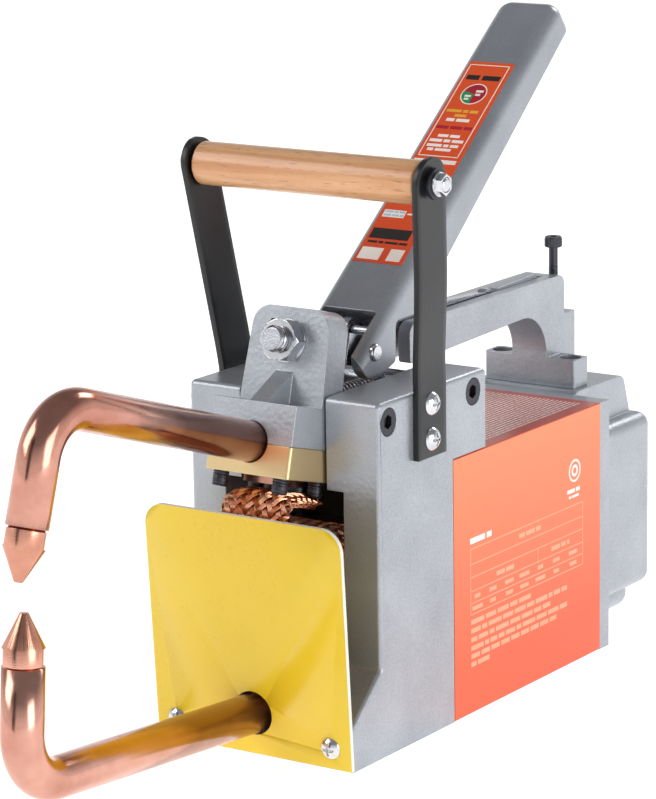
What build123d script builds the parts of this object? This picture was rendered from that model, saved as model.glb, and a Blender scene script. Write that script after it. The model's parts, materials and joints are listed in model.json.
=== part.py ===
from build123d import *
from math import atan2, cos, degrees, radians, sin
import os

# Portable spot welder, in millimetres. +X is the right-hand side, the electrodes point
# towards -Y and +Z is up. The origin is on the base plane, on the middle plane, in line
# with the front face of the casting above its lip.

# ---- driving dimensions -------------------------------------------------------------
HALF_WIDTH = 45.0          # casting, case and frame are flush at this half width
HOUSING_TOP = 142.2
CASE_TOP = 109.1           # top of the transformer case and of its label
CASE_FRONT = 53.2
CASE_BACK = 170.9
FRAME_BACK = 178.9
EAR_BACK = 78.0            # rear end of the casting's upper ears
LIP_FRONT = -21.0
SLOT_HALF = 20.2           # slot that the rocker and lever swing in
CAVITY_HALF = 28.0
CAVITY_TOP = 105.3
FLOOR = 5.0

ARM_RADIUS = 8.0           # both copper arms are 16 mm bar
ARM_BEND = 20.0
LOWER_TILT = 4.5           # the lower arm rises towards its tip
LOWER_ENTRY = (-25.2, 18.0)
LOWER_REACH = 142.9        # from the entry to the corner of the bend
LOWER_LEG = 64.6           # from that corner to the end of the tip
TIP_FLAT = 1.6
TIP_CONE = 12.7
TIP_BODY = 7.0
TIP_GROOVE = 0.8

PIVOT = (6.8, 134.0)       # rocker pivot, in Y and Z
ROCKER_TILT = 15.0         # the rocker leans back at rest
ROCKER_HALF = 19.4
BLOCK_FRONT = 26.3
BLOCK_TOP = 1.6
SPLIT = -14.3              # joint between the holder and the brass block
BRASS_BOTTOM = -27.0
LUG_FRONT = 9.0
LUG_BACK = -5.0
LUG_TOP = 39.5
UPPER_TILT = 2.8           # the upper arm rises a little more than its holder
UPPER_REACH = 129.5
UPPER_LEG = 64.4
ROD_HEIGHT = 26.2
ROD_END = 20.8
ROD_RADIUS = 5.0
CLEVIS_AT = -28.0          # lever pin, behind the pivot along the rod

LEVER_ANGLE = 37.9
LEVER_LENGTH = 194.5
LEVER_TOP = 7.0            # outer face of the web above the lever pin
LEVER_HALF_FRONT = 17.0
LEVER_HALF_BACK = 14.9
LEVER_WALL = 4.6
WEB = 4.0
LEVER_PIN_RADIUS = 3.5
LABEL_HALF = 11.8
LABEL_START = 40.0
LABEL_END = 154.6
LINK_RADIUS = 9.5         # from the lever pin to the link pin
LINK_ANGLE = 45.0
LINK_PIN_RADIUS = 2.0
LINK_CLEARANCE = 0.8       # the linkage is opened at the link pin
GROUND_PIN = (151.0, 152.8)

BRACKET_HALF = 8.65
BRACKET_TOP = 156.0
BRACKET_FRONT = 79.0
COLUMN_FRONT = 187.9
COLUMN_BACK = 203.5
BASE_HALF = 22.6
BASE_BACK = 199.9
BASE_TOP = 121.7
BRACKET_SLOT = 2.9
BOLT_X = 17.0
BOLT_Y = 194.0

COVER_HALF = 34.0
COVER_BACK = 237.5
COVER_BOTTOM = 13.3
SHOULDER = 91.5
HUMP_HALF = 26.0
COVER_WALL = 3.5
PLUNGER_Y = 208.6
PLUNGER_TOP = 171.0

STRAP_Y = 34.2
STRAP_WIDTH = 20.4
STRAP_THICK = 2.5
STRAP_BEND = 143.0
STRAP_FLARE = 4.6
STRAP_KNEE = 42.0
RIGHT_FLARES = (8.0, 5.0)  # the right strap is set out further than the left
STRAP_LEAN = 9.3
STRAP_LENGTH = 84.1
GRIP_RADIUS = 8.7
RUNNING = 0.05             # radial clearance of a pin in its bore

PLATE_TILT = 3.7
PLATE_FOOT = (-22.9, 1.0)
PLATE_HEIGHT = 97.7
PLATE_THICK = 1.8
PLATE_LEFT = -46.9
PLATE_RIGHT = 45.6


# ---- helpers -------------------------------------------------------------------------
def span(x0, x1, y0, y1, z0, z1):
    """A box between two corners."""
    return Pos((x0 + x1) / 2, (y0 + y1) / 2, (z0 + z1) / 2) * Box(x1 - x0, y1 - y0, z1 - z0)


def side_profile(outline, x0, x1):
    """Extrude an outline drawn in Y and Z from x0 to x1."""
    return Pos(x0, 0, 0) * extrude(Plane.YZ * make_face(outline), amount=x1 - x0)


def bar_x(radius, x0, x1, y=0.0, z=0.0):
    """A round bar along X."""
    return Pos((x0 + x1) / 2, y, z) * Rot(0, 90, 0) * Cylinder(radius, x1 - x0)


def bar_y(radius, y0, y1, x=0.0, z=0.0):
    """A round bar along Y."""
    return Pos(x, (y0 + y1) / 2, z) * Rot(90, 0, 0) * Cylinder(radius, y1 - y0)


def bar_z(radius, z0, z1, x=0.0, y=0.0):
    """A round bar along Z."""
    return Pos(x, y, (z0 + z1) / 2) * Cylinder(radius, z1 - z0)


def hexagon_z(across, z0, z1):
    """A hexagonal prism along Z."""
    return Pos(0, 0, z0) * extrude(RegularPolygon(across / 2, 6, major_radius=False), amount=z1 - z0)


def socket_screw(head_r, head_h, shank_r, length, key):
    """A cap screw along Z: its head's top is at zero and its shank hangs down."""
    body = bar_z(head_r, -head_h, 0) + bar_z(shank_r, -head_h - length, -head_h)
    return body - hexagon_z(key, -head_h * 0.55, 1)


def pan_screw(head_r, head_h, shank_r, length):
    """A cross-recessed pan head along Z: the seat is at zero and the shank hangs down."""
    sphere_r = (head_r ** 2 + head_h ** 2) / (2 * head_h)
    dome = (Pos(0, 0, head_h - sphere_r) * Sphere(sphere_r)) & bar_z(head_r, 0, head_h + 1)
    recess = span(-head_r * 0.55, head_r * 0.55, -0.45, 0.45, head_h * 0.35, head_h + 1)
    return dome + bar_z(shank_r, -length, 0) - recess - Rot(0, 0, 90) * recess


def mirrored(shape):
    """The same shape on the left-hand side."""
    return mirror(shape, about=Plane.YZ)


def group(shapes):
    """Several separate solids in one node."""
    return Compound(children=list(shapes))


def spring(radius, wire, pitch, length):
    """A coil spring along Z from zero to its length."""
    turns = Helix(pitch=pitch, height=length - wire, radius=radius)
    section = Plane(turns @ 0, z_dir=turns % 0) * Circle(wire / 2)
    return Pos(0, 0, wire / 2) * sweep(section, path=turns)


def rocker_frame():
    """Y runs back along the rod and Z up the lug, from the rocker pivot."""
    return Pos(0, *PIVOT) * Rot(-ROCKER_TILT, 0, 0)


def upper_arm_frame():
    """Y runs back along the upper arm from where it leaves its holder."""
    return rocker_frame() * Pos(0, -BLOCK_FRONT, SPLIT) * Rot(-UPPER_TILT, 0, 0)


def rocker_point(forward, up):
    """Y and Z of a point given forward of and above the rocker pivot."""
    tilt = radians(ROCKER_TILT)
    return (PIVOT[0] - forward * cos(tilt) + up * sin(tilt), PIVOT[1] + forward * sin(tilt) + up * cos(tilt))


LEVER_PIN = rocker_point(CLEVIS_AT, ROD_HEIGHT)
LINK_PIN = (LEVER_PIN[0] + LINK_RADIUS * cos(radians(LINK_ANGLE)),
            LEVER_PIN[1] + LINK_RADIUS * sin(radians(LINK_ANGLE)))


def lever_frame():
    """Y runs along the lever and Z out through its web, from the lever pin."""
    return Pos(0, *LEVER_PIN) * Rot(LEVER_ANGLE, 0, 0)


def strap_frame(flare):
    """The upper part of a strap, from its bend: Z runs up the strap and X through it."""
    return Pos(HALF_WIDTH, STRAP_Y, STRAP_BEND) * Rot(STRAP_LEAN, 0, 0) * Rot(0, flare, 0)


def knee_frame(flares):
    """The same from the strap's knee, with the second of its two flares."""
    return strap_frame(flares[0]) * Pos(0, 0, STRAP_KNEE) * Rot(0, flares[1] - flares[0], 0)


def plate_frame():
    """Z runs up the guard plate and Y through it."""
    return Pos(0, *PLATE_FOOT) * Rot(PLATE_TILT, 0, 0)


LEFT_FLARES = (STRAP_FLARE, STRAP_FLARE)
GRIP_AT = (strap_frame(STRAP_FLARE) * Pos(0, 0, STRAP_LENGTH)).position
RIGHT_REST = (STRAP_LENGTH * cos(radians(STRAP_FLARE)) - STRAP_KNEE * cos(radians(RIGHT_FLARES[0]))) / cos(radians(RIGHT_FLARES[1]))
GRIP_RIGHT = (knee_frame(RIGHT_FLARES) * Pos(0, 0, RIGHT_REST)).position.X
GRIP_LEFT = GRIP_AT.X


# ---- casting, case and covers -----------------------------------------------------------
def front_housing():
    outline = Polyline(
        (0, HOUSING_TOP), (0, 35.9), (LIP_FRONT, 17.4), (LIP_FRONT, 0), (CASE_FRONT, 0),
        (CASE_FRONT, CASE_TOP + 0.3), (EAR_BACK, CASE_TOP + 0.3), (EAR_BACK, HOUSING_TOP), close=True)
    body = side_profile(outline, -HALF_WIDTH, HALF_WIDTH)
    rounded = [e for e in body.edges() if e.bounding_box().min.Z > 16 and e.bounding_box().max.Y < 0.1]
    rounded += [e for e in body.edges() if e.bounding_box().min.Z > HOUSING_TOP - 0.1]
    body = fillet(list(dict.fromkeys(rounded)), 2.2)
    body -= span(-SLOT_HALF, SLOT_HALF, -5, EAR_BACK + 5, CAVITY_TOP - 1, HOUSING_TOP + 5)
    body -= span(-CAVITY_HALF, CAVITY_HALF, LIP_FRONT - 5, CASE_FRONT + 5, FLOOR, CAVITY_TOP)
    for y, z in (PIVOT, (68.8, PIVOT[1])):
        body -= bar_x(5.0, -HALF_WIDTH, HALF_WIDTH, y, z)
        body -= bar_x(5.6, HALF_WIDTH - 5, HALF_WIDTH + 1, y, z)
        body -= bar_x(5.6, -HALF_WIDTH - 1, -HALF_WIDTH + 5, y, z)
    for z in STRAP_SCREW_Z:
        body -= bar_x(2.5, HALF_WIDTH - 12, HALF_WIDTH + 1, STRAP_Y, z)
        body -= bar_x(2.5, -HALF_WIDTH - 1, -HALF_WIDTH + 12, STRAP_Y, z)
    for x in PLATE_SCREWS:
        body -= plate_frame() * bar_y(2.0, 0, 12, x, PLATE_SCREW_Z)
    return body


STRAP_SCREW_Z = (122.0, 136.2)
PLATE_SCREWS = (-37.5, 36.0)
PLATE_SCREW_Z = 8.3


def transformer_case():
    sleeve = span(-44.6, 44.6, CASE_FRONT, CASE_BACK, 0, CASE_TOP - 0.3)
    return sleeve - span(-41.6, 41.6, CASE_FRONT - 1, CASE_BACK + 1, 3, CASE_TOP - 3.3)


def side_labels():
    right = span(44.6, HALF_WIDTH, CASE_FRONT + 0.2, CASE_BACK, 0.6, CASE_TOP - 0.3)
    return group([right, mirrored(right)])


def top_label():
    return span(-44.6, 44.6, CASE_FRONT + 0.2, CASE_BACK, CASE_TOP - 0.3, CASE_TOP)


CORE_FRONT = 66.0
CORE_BACK = 166.0
CORE_HALF = 30.0
WINDOW_FRONT = 94.0
WINDOW_BACK = 138.0
WINDOW_BOTTOM = 34.0
WINDOW_TOP = 76.0


def core_laminations():
    stack = span(-CORE_HALF, CORE_HALF, CORE_FRONT, CORE_BACK, 3, CASE_TOP - 3.3)
    window = span(-CORE_HALF - 1, CORE_HALF + 1, WINDOW_FRONT, WINDOW_BACK, WINDOW_BOTTOM, WINDOW_TOP)
    return stack - window


def coil_bobbin():
    inner = span(-31.6, 31.6, 136.4, 167.6, WINDOW_BOTTOM, WINDOW_TOP)
    for z in (WINDOW_BOTTOM, WINDOW_TOP - 1.5):
        inner += span(-40.8, 40.8, 127.2, 176.8, z, z + 1.5)
    return inner - span(-30.2, 30.2, 137.8, 166.2, WINDOW_BOTTOM - 1, WINDOW_TOP + 1)


def primary_coil():
    low = WINDOW_BOTTOM + 1.6
    high = WINDOW_TOP - 1.6
    outer = span(-40.4, 40.4, 127.6, 176.4, low, high)
    outer = fillet(outer.edges().filter_by(Axis.Z), 6)
    return outer - span(-31.8, 31.8, 136.2, 167.8, low - 1, high + 1)


def secondary_loop():
    low = WINDOW_BOTTOM + 1.0
    high = WINDOW_TOP - 1.0
    ring = span(-40.5, 40.5, 55.0, 105.0, low, high)
    ring -= span(-30.6, 30.6, 65.2, 94.8, low - 1, high + 1)
    ring -= span(-3, 3, 54, 66, low - 1, high + 1)
    lower_terminal = span(3, 22, 40, 55.5, 8, 58)
    upper_terminal = span(-22, 18, 26, 53, 64, 74) + span(-22, -3, 52, 55.5, 64, 74)
    for x in (-9, 9):
        upper_terminal -= bar_z(3, 60, 80, x, 42)
    return ring + lower_terminal + upper_terminal


def rear_frame():
    frame = span(-HALF_WIDTH, HALF_WIDTH, CASE_BACK, FRAME_BACK, 0, CASE_TOP)
    return frame - span(-41.6, 41.6, CASE_BACK - 1, FRAME_BACK + 1, 12, 100)


def hump_outline(inset):
    """The hump's outline in Y and Z, with an S-curve down to the shoulder."""
    return FilletPolyline(
        (FRAME_BACK, SHOULDER - 12), (FRAME_BACK, CASE_TOP - inset), (225.0 - inset, CASE_TOP - inset),
        (230.5 - inset, SHOULDER + 0.5), (COVER_BACK - inset, SHOULDER - 7), (COVER_BACK - inset, SHOULDER - 12),
        radius=[0.2, 7.0, 5.0, 3.0, 0.2, 0.2], close=True)


GLAND = (22.0, 11.2)
GLAND_BACK = 224.0


def rear_cover():
    shell = span(-COVER_HALF, COVER_HALF, FRAME_BACK, COVER_BACK, COVER_BOTTOM, SHOULDER)
    shell = fillet([e for e in shell.edges() if e.bounding_box().max.Y > FRAME_BACK + 1], 6)
    hump = side_profile(hump_outline(0), -HUMP_HALF, HUMP_HALF)
    shell += hump
    foot = span(-41, 41, FRAME_BACK, FRAME_BACK + 4, COVER_BOTTOM, SHOULDER)
    shell += foot
    boss = bar_y(7.3, FRAME_BACK, GLAND_BACK, GLAND[0], GLAND[1])
    shell += fillet(boss.edges().sort_by(Axis.Y)[-1:], 3)
    w = COVER_WALL
    room = span(-COVER_HALF + w, COVER_HALF - w, FRAME_BACK - 1, COVER_BACK - w, COVER_BOTTOM + w, SHOULDER - w)
    hump_room = span(-HUMP_HALF + w, HUMP_HALF - w, FRAME_BACK - 1, 219.0, SHOULDER - w - 1, CASE_TOP - w)
    shell -= room + hump_room
    shell -= bar_y(4.6, 186.0, COVER_BACK + 1, GLAND[0], GLAND[1])
    shell -= span(GLAND[0] - 4, GLAND[0] + 4, 186.0, 200.0, GLAND[1], COVER_BOTTOM + w + 1)
    shell -= bar_z(2.4, 100, 115, 0, PLUNGER_Y)
    for x in (-BOLT_X, BOLT_X):
        shell -= bar_z(2.5, 100, 115, x, BOLT_Y)
    for x, z in COVER_SCREWS:
        shell -= bar_y(2.1, FRAME_BACK - 1, FRAME_BACK + 8, x, z)
    return shell


COVER_SCREWS = [(x, z) for x in (-38.0, 38.0) for z in (22.0, 84.0)]


def cover_screws():
    shapes = []
    for x, z in COVER_SCREWS:
        screw = pan_screw(3.4, 2.0, 2.1, 3.8)
        shapes.append(Pos(x, FRAME_BACK + 4.0, z) * Rot(-90, 0, 0) * screw)
    return group(shapes)


def cord_bush():
    body = bar_y(4.6, 204, GLAND_BACK + 1.5, GLAND[0], GLAND[1])
    return body - bar_y(3.5, 203, GLAND_BACK + 4, GLAND[0], GLAND[1])


# ---- guard plate and lower arm --------------------------------------------------------
def guard_plate():
    flat = span(PLATE_LEFT, PLATE_RIGHT, 0, PLATE_THICK, 0, PLATE_HEIGHT)
    top = [e for e in flat.edges().filter_by(Axis.Y) if e.center().Z > PLATE_HEIGHT / 2]
    flat = fillet(top, 9)
    for x in PLATE_SCREWS:
        flat -= bar_y(2.4, -1, PLATE_THICK + 1, x, PLATE_SCREW_Z)
    plate = plate_frame() * flat
    return plate - lower_arm_frame() * bar_y(ARM_RADIUS + 0.9, -20, 20)


def guard_screws():
    screw = Rot(90, 0, 0) * pan_screw(4.6, 2.6, 2.0, 11)
    places = [plate_frame() * Pos(x, 0, PLATE_SCREW_Z) for x in PLATE_SCREWS]
    return group([place * screw for place in places])


def lower_arm_frame():
    """Y runs back along the lower arm from where it enters the guard plate."""
    return Pos(0, *LOWER_ENTRY) * Rot(-LOWER_TILT, 0, 0)


def bent_arm(back, reach, leg, turn):
    """A bar from back to reach forward, then along its leg: turn is +1 up or -1 down."""
    joint = leg - TIP_CONE - TIP_BODY
    corner = -reach
    path = FilletPolyline((0, back, 0), (0, corner, 0), (0, corner, turn * joint), radius=ARM_BEND)
    section = Plane(origin=(0, back, 0), z_dir=(0, -1, 0)) * Circle(ARM_RADIUS)
    bar = sweep(section, path=path)
    spigot = bar_z(ARM_RADIUS - 1.2, joint, joint + TIP_GROOVE, 0, corner)
    pin = bar_z(4.5, joint, joint + 5, 0, corner)
    end = spigot + pin
    if turn < 0:
        end = mirror(end, about=Plane.XY)
    return bar + end


def electrode_tip(reach, leg, turn):
    """The tip of an arm, with two spanner flats."""
    joint = leg - TIP_CONE - TIP_BODY
    body = bar_z(ARM_RADIUS, joint + TIP_GROOVE, joint + TIP_BODY)
    body += Pos(0, 0, joint + TIP_BODY + TIP_CONE / 2) * Cone(ARM_RADIUS, TIP_FLAT, TIP_CONE)
    for side in (-1, 1):
        body -= Pos(side * (ARM_RADIUS + 3.2), 0, joint + 3.9) * Box(8, 20, 6.2)
    body -= bar_z(4.5, joint - 1, joint + 5)
    body = Pos(0, -reach, 0) * Rot(0, 0, 35) * body
    return body if turn > 0 else mirror(body, about=Plane.XY)


def lower_arm():
    return lower_arm_frame() * bent_arm(64.0, LOWER_REACH, LOWER_LEG, 1)


def lower_tip():
    return lower_arm_frame() * electrode_tip(LOWER_REACH, LOWER_LEG, 1)


def lower_clamp():
    block = span(-20, 20, 4, 39.9, FLOOR + 0.1, 28)
    block -= lower_arm_frame() * bar_y(ARM_RADIUS, 0, 70)
    block -= span(-0.9, 0.9, 3, 41, 14, 29)
    for x in (-14, 14):
        block -= bar_z(2.5, 8, 29, x, 22)
    return block


def lower_clamp_screws():
    screw = socket_screw(4.2, 5, 2.5, 18, 4)
    return group([Pos(x, 22, 33) * screw for x in (-14, 14)])


# ---- rocker ---------------------------------------------------------------------------
def arm_holder():
    block = span(-ROCKER_HALF, ROCKER_HALF, -BLOCK_FRONT, 9, SPLIT, BLOCK_TOP)
    lug_face = Polyline(
        (-ROCKER_HALF, SPLIT), (-ROCKER_HALF, 4), (-17.6, LUG_TOP), (17.6, LUG_TOP),
        (ROCKER_HALF, 4), (ROCKER_HALF, SPLIT), close=True)
    lug = extrude(Plane.XZ * make_face(lug_face), amount=LUG_FRONT)
    lug += extrude(Plane.XZ * make_face(lug_face), amount=LUG_BACK)
    corners = [e for e in lug.edges().filter_by(Axis.Y) if e.center().Z > LUG_TOP - 1]
    lug = fillet(corners, 8)
    rib = side_profile(Polyline((-LUG_FRONT, 14.3), (-BLOCK_FRONT + 2.2, BLOCK_TOP), (-LUG_FRONT, BLOCK_TOP), close=True),
                       -4.2, 4.2)
    rib -= bar_y(8.9, -30, -LUG_FRONT, 0, ROD_HEIGHT)
    body = block + lug + rib
    body -= bar_x(PIVOT_RADIUS + RUNNING, -30, 30)
    body -= bar_y(ROD_RADIUS + RUNNING, -40, 20, 0, ROD_HEIGHT)
    for x, y in CLAMP_SCREWS:
        body -= bar_z(3, SPLIT - 1, SPLIT + (8.5 if y > 0 else 11.0), x, y)
    return rocker_frame() * body - upper_arm_frame() * bar_y(ARM_RADIUS, -15, 50)


PIVOT_RADIUS = 5.0
CLAMP_SCREWS = [(x, y) for x in (-14.0, 14.0) for y in (-22.5, 2.0)]


def brass_clamp():
    block = span(-ROCKER_HALF, ROCKER_HALF, -BLOCK_FRONT, 9, BRASS_BOTTOM, SPLIT)
    block = chamfer(block.edges().filter_by(Axis.Z), 0.8)
    for x, y in CLAMP_SCREWS:
        block -= bar_z(3, BRASS_BOTTOM - 1, SPLIT + 1, x, y)
    return rocker_frame() * block - upper_arm_frame() * bar_y(ARM_RADIUS, -15, 50)


def clamp_screws():
    studs = []
    for x, y in CLAMP_SCREWS:
        top = SPLIT + (8.5 if y > 0 else 11.0)
        studs.append(rocker_frame() * bar_z(3, BRASS_BOTTOM - 6, top, x, y))
    return group(studs)


def upper_arm():
    return upper_arm_frame() * bent_arm(31.0, UPPER_REACH, UPPER_LEG, -1)


def upper_tip():
    return upper_arm_frame() * electrode_tip(UPPER_REACH, UPPER_LEG, -1)


def upper_braid_lug():
    lug = span(-10.5, 10.5, -12, 7, BRASS_BOTTOM - 3, BRASS_BOTTOM)
    return rocker_frame() * lug


def braid_bolts():
    bolts = []
    for x in (-5.5, 5.5):
        bolt = bar_z(4.2, BRASS_BOTTOM - 5.4, BRASS_BOTTOM - 3, x, 2.5)
        bolts.append(rocker_frame() * bolt)
    return group(bolts)


def copper_braid():
    path = FilletPolyline((0, 1.0, 95.4), (0, -17.3, 100.6), (0, -19.0, 80.5), (0, 28.0, 80.5), radius=[8.5, 8.5])
    section = Plane(origin=path @ 0, x_dir=(1, 0, 0), z_dir=path % 0) * Rectangle(34, 6.4)
    return sweep(section, path=path)


def lower_braid_lug():
    lug = span(-15, 15, 28.1, 50, 74, 77) + span(-17, 17, 28.1, 33, 77, 83.7)
    for x in (-9, 9):
        lug -= bar_z(3, 70, 85, x, 42)
    return lug


def terminal_bolts():
    bolt = hexagon_z(10, 0, 4) + bar_z(3, -11, 0)
    return group([Pos(x, 42, 77) * bolt for x in (-9, 9)])


def pivot_shaft():
    return bar_x(PIVOT_RADIUS, -39.8, 39.8, *PIVOT)


def tie_shaft():
    return bar_x(PIVOT_RADIUS, -39.8, 39.8, 68.8, PIVOT[1])


def side_screws():
    shapes = []
    for y, z in (PIVOT, (68.8, PIVOT[1])):
        head = bar_x(5.4, 40.0, HALF_WIDTH - 0.3, y, z)
        key = Pos(HALF_WIDTH - 3.2, y, z) * Rot(0, 90, 0) * hexagon_z(5, 0, 4)
        shapes += [head - key, mirrored(head - key)]
    return group(shapes)


def return_spring():
    start = rocker_point(-8.6, 2.6)
    finish = (62.6, PIVOT[1] - 1.0)
    run = ((finish[0] - start[0]) ** 2 + (finish[1] - start[1]) ** 2) ** 0.5
    lean = degrees(atan2(finish[1] - start[1], finish[0] - start[0]))
    coil = spring(3.2, 1.2, 2.6, run)
    return Pos(0, *start) * Rot(lean, 0, 0) * Rot(-90, 0, 0) * coil


# ---- pressure rod ---------------------------------------------------------------------
def pressure_rod():
    rod = bar_y(ROD_RADIUS, -ROD_END, 18)
    clevis = span(-11, 11, 17, -CLEVIS_AT, -6.4, 6.4) + bar_x(6.4, -11, 11, -CLEVIS_AT, 0)
    clevis -= span(-3.2, 3.2, 20.5, 50, -10, 10)
    clevis -= bar_x(LEVER_PIN_RADIUS + RUNNING, -12, 12, -CLEVIS_AT, 0)
    return rocker_frame() * Pos(0, 0, ROD_HEIGHT) * (chamfer(rod.edges().sort_by(Axis.Y)[:1], 0.8) + clevis)


def adjusting_nut():
    rim = bar_z(9.3, 0, 6.2)
    nut = Rot(90, 0, 0) * (hexagon_z(16, 0, 6.2) & chamfer(rim.edges().sort_by(Axis.Z)[-1:], 1.3))
    nut -= bar_y(ROD_RADIUS, -10, 2)
    return rocker_frame() * Pos(0, -LUG_FRONT - 1.4, ROD_HEIGHT) * nut


def nut_washer():
    washer = bar_y(8.6, -LUG_FRONT - 1.4, -LUG_FRONT, 0, ROD_HEIGHT)
    washer -= bar_y(ROD_RADIUS + RUNNING, -LUG_FRONT - 3, 0, 0, ROD_HEIGHT)
    return rocker_frame() * washer


def pressure_spring():
    coil = spring(7.4, 2.4, 3.4, 10.2)
    return rocker_frame() * Pos(0, -LUG_BACK + 0.1, ROD_HEIGHT) * Rot(-90, 0, 0) * coil


# ---- lever ----------------------------------------------------------------------------
def lever_walls():
    """The lever's side outline, along it and out from the lever pin."""
    return FilletPolyline(
        (13, LEVER_TOP + 4), (LEVER_LENGTH + 3, LEVER_TOP + 4), (LEVER_LENGTH + 3, -7.0), (31.4, -11.6),
        (18.6, -1.6), (8.0, -14.4), (-3.0, -10.4), (-9.0, 0), (-2.5, 10.6), (13, 10.6),
        radius=[0.2, 0.2, 0.2, 1.5, 3.0, 2.0, 1.0, 1.0, 1.0, 0.2], close=True)


def lever_plan(half_front, half_back, start, end, corner):
    """The lever's outline seen through its web, tapering to its outer end."""
    return FilletPolyline(
        (-half_front, start), (half_front, start), (half_back, end), (-half_back, end),
        radius=[0.5, 0.5, corner, corner], close=True)


def lever_crown(grow):
    """The lever's tapering body with its rounded upper edges, grown by so much."""
    plan = lever_plan(LEVER_HALF_FRONT + grow, LEVER_HALF_BACK + grow, -14, LEVER_LENGTH + grow, 7 + grow)
    web = extrude(Plane.XY.offset(-30) * make_face(plan), amount=30 + LEVER_TOP + grow)
    crest = [e for e in web.edges() if e.bounding_box().min.Z > LEVER_TOP + grow - 0.01 and e.center().Y > 0]
    return fillet(crest, 6.2 + grow)


def lever():
    sides = side_profile(lever_walls(), -30, 30) + bar_x(10.9, -30, 30)
    crown = extrude(Plane.XY.offset(-30) * make_face(lever_plan(
        LEVER_HALF_FRONT - LEVER_WALL, LEVER_HALF_BACK - LEVER_WALL, -30, LEVER_LENGTH - 4.5, 3)), amount=30 + LEVER_TOP - WEB)
    body = lever_crown(0) & sides
    body -= crown
    inner_half = LEVER_HALF_FRONT - LEVER_WALL
    body -= span(-inner_half, inner_half, -30, 15.0, -30, 30)
    body -= span(-3.4, 3.4, 10, 27, 0, LEVER_TOP - 1.4)
    body -= bar_x(LEVER_PIN_RADIUS, -30, 30)
    y, z = link_pin_local()
    body -= bar_x(LINK_PIN_RADIUS, -14.4, 14.4, y, z)
    return lever_frame() * body


def link_pin_local():
    """The link pin's place in the lever's own frame."""
    turn = radians(LINK_ANGLE - LEVER_ANGLE)
    return LINK_RADIUS * cos(turn), LINK_RADIUS * sin(turn)


def lever_pin():
    pin = bar_x(LEVER_PIN_RADIUS, -18.2, 18.2)
    return lever_frame() * chamfer(pin.edges(), 0.7)


def link_pin():
    y, z = link_pin_local()
    return lever_frame() * bar_x(LINK_PIN_RADIUS, -14.2, 14.2, y, z)


def lever_label():
    plan = Polyline(
        (-LABEL_HALF, LABEL_START), (LABEL_HALF, LABEL_START), (LABEL_HALF - 0.9, LABEL_END),
        (-LABEL_HALF + 0.9, LABEL_END), close=True)
    film = extrude(Plane.XY.offset(LEVER_TOP - 3) * make_face(plan), amount=4)
    return lever_frame() * ((lever_crown(0.25) & film) - lever_crown(0))


# ---- linkage and bracket ----------------------------------------------------------------
def toggle_link():
    run = ((GROUND_PIN[0] - LINK_PIN[0]) ** 2 + (GROUND_PIN[1] - LINK_PIN[1]) ** 2) ** 0.5
    lean = degrees(atan2(GROUND_PIN[1] - LINK_PIN[1], GROUND_PIN[0] - LINK_PIN[0]))
    bar = span(-2, 2, 0, run, -3.6, 3.6) + bar_x(4.8, -2, 2, 0, 0) + bar_x(4.8, -2, 2, run, 0)
    bar -= bar_x(LINK_PIN_RADIUS + LINK_CLEARANCE, -5, 5, 0, 0)
    bar -= bar_x(2.5 + RUNNING, -5, 5, run, 0)
    return Pos(0, *LINK_PIN) * Rot(lean, 0, 0) * bar


def ground_pin():
    return bar_x(2.5, -7.2, 7.2, *GROUND_PIN)


def lever_bracket():
    outline = FilletPolyline(
        (BRACKET_FRONT, 139.3), (BRACKET_FRONT, BRACKET_TOP), (COLUMN_BACK, BRACKET_TOP), (COLUMN_BACK, CASE_TOP),
        (COLUMN_FRONT, CASE_TOP), (COLUMN_FRONT, 142.6), radius=[1.5, 5.0, 4.5, 0.5, 0.5, 19.0], close=True)
    body = side_profile(outline, -BRACKET_HALF, BRACKET_HALF)
    base = span(-BASE_HALF, BASE_HALF, COLUMN_FRONT, BASE_BACK, CASE_TOP, BASE_TOP)
    body += chamfer(base.edges().filter_by(Axis.Z), 0.8)
    body -= span(-BRACKET_SLOT, BRACKET_SLOT, BRACKET_FRONT - 5, 157.5, 130, 160)
    body -= span(-BRACKET_SLOT, BRACKET_SLOT, 157, 195, KEY_FLOOR, 160)
    body -= bar_x(2.5, -7.2, 7.2, *GROUND_PIN)
    for x in (-BOLT_X, BOLT_X):
        body -= bar_z(2.5, 100, BASE_TOP + 1, x, BOLT_Y)
        body -= bar_z(4.6, BASE_TOP - 7, BASE_TOP + 1, x, BOLT_Y)
    return body


KEY_FLOOR = 147.0


def bracket_bolts():
    bolt = socket_screw(4.4, 4.6, 2.5, 13, 4)
    return group([Pos(x, BOLT_Y, BASE_TOP - 2.4) * bolt for x in (-BOLT_X, BOLT_X)])


def bracket_key():
    outline = Polyline((157.4, KEY_FLOOR), (193.8, KEY_FLOOR), (193.0, 153.5), (189.0, 158.0), (157.4, 157.0), close=True)
    return side_profile(outline, -2.7, 2.7)


# ---- switch gear ------------------------------------------------------------------------
def switch_holder():
    body = span(-8, 8, COLUMN_BACK + 0.3, 213.6, CASE_TOP, 138.4)
    body -= bar_z(3.8, CASE_TOP - 1, 134.3, 0, PLUNGER_Y)
    return body - bar_z(1.95 + RUNNING, 130, 140, 0, PLUNGER_Y)


def switch_screw():
    body = socket_screw(3.6, 4.6, 1.95, PLUNGER_TOP - 4.6 - 92.0, 3)
    body += bar_z(3.3, 131.6 - PLUNGER_TOP, 133.9 - PLUNGER_TOP)
    return Pos(0, PLUNGER_Y, PLUNGER_TOP) * body


def plunger_spring():
    return Pos(0, PLUNGER_Y, CASE_TOP) * spring(2.9, 0.7, 2.5, 22.3)


def micro_switch():
    body = span(-10, 10, 199, 219, 60, 86)
    body += span(-3, 3, 206, 211, 86, 88.5)
    body += span(-8, 8, 203, 205.5, COVER_BOTTOM + COVER_WALL, 61)
    return body


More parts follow.
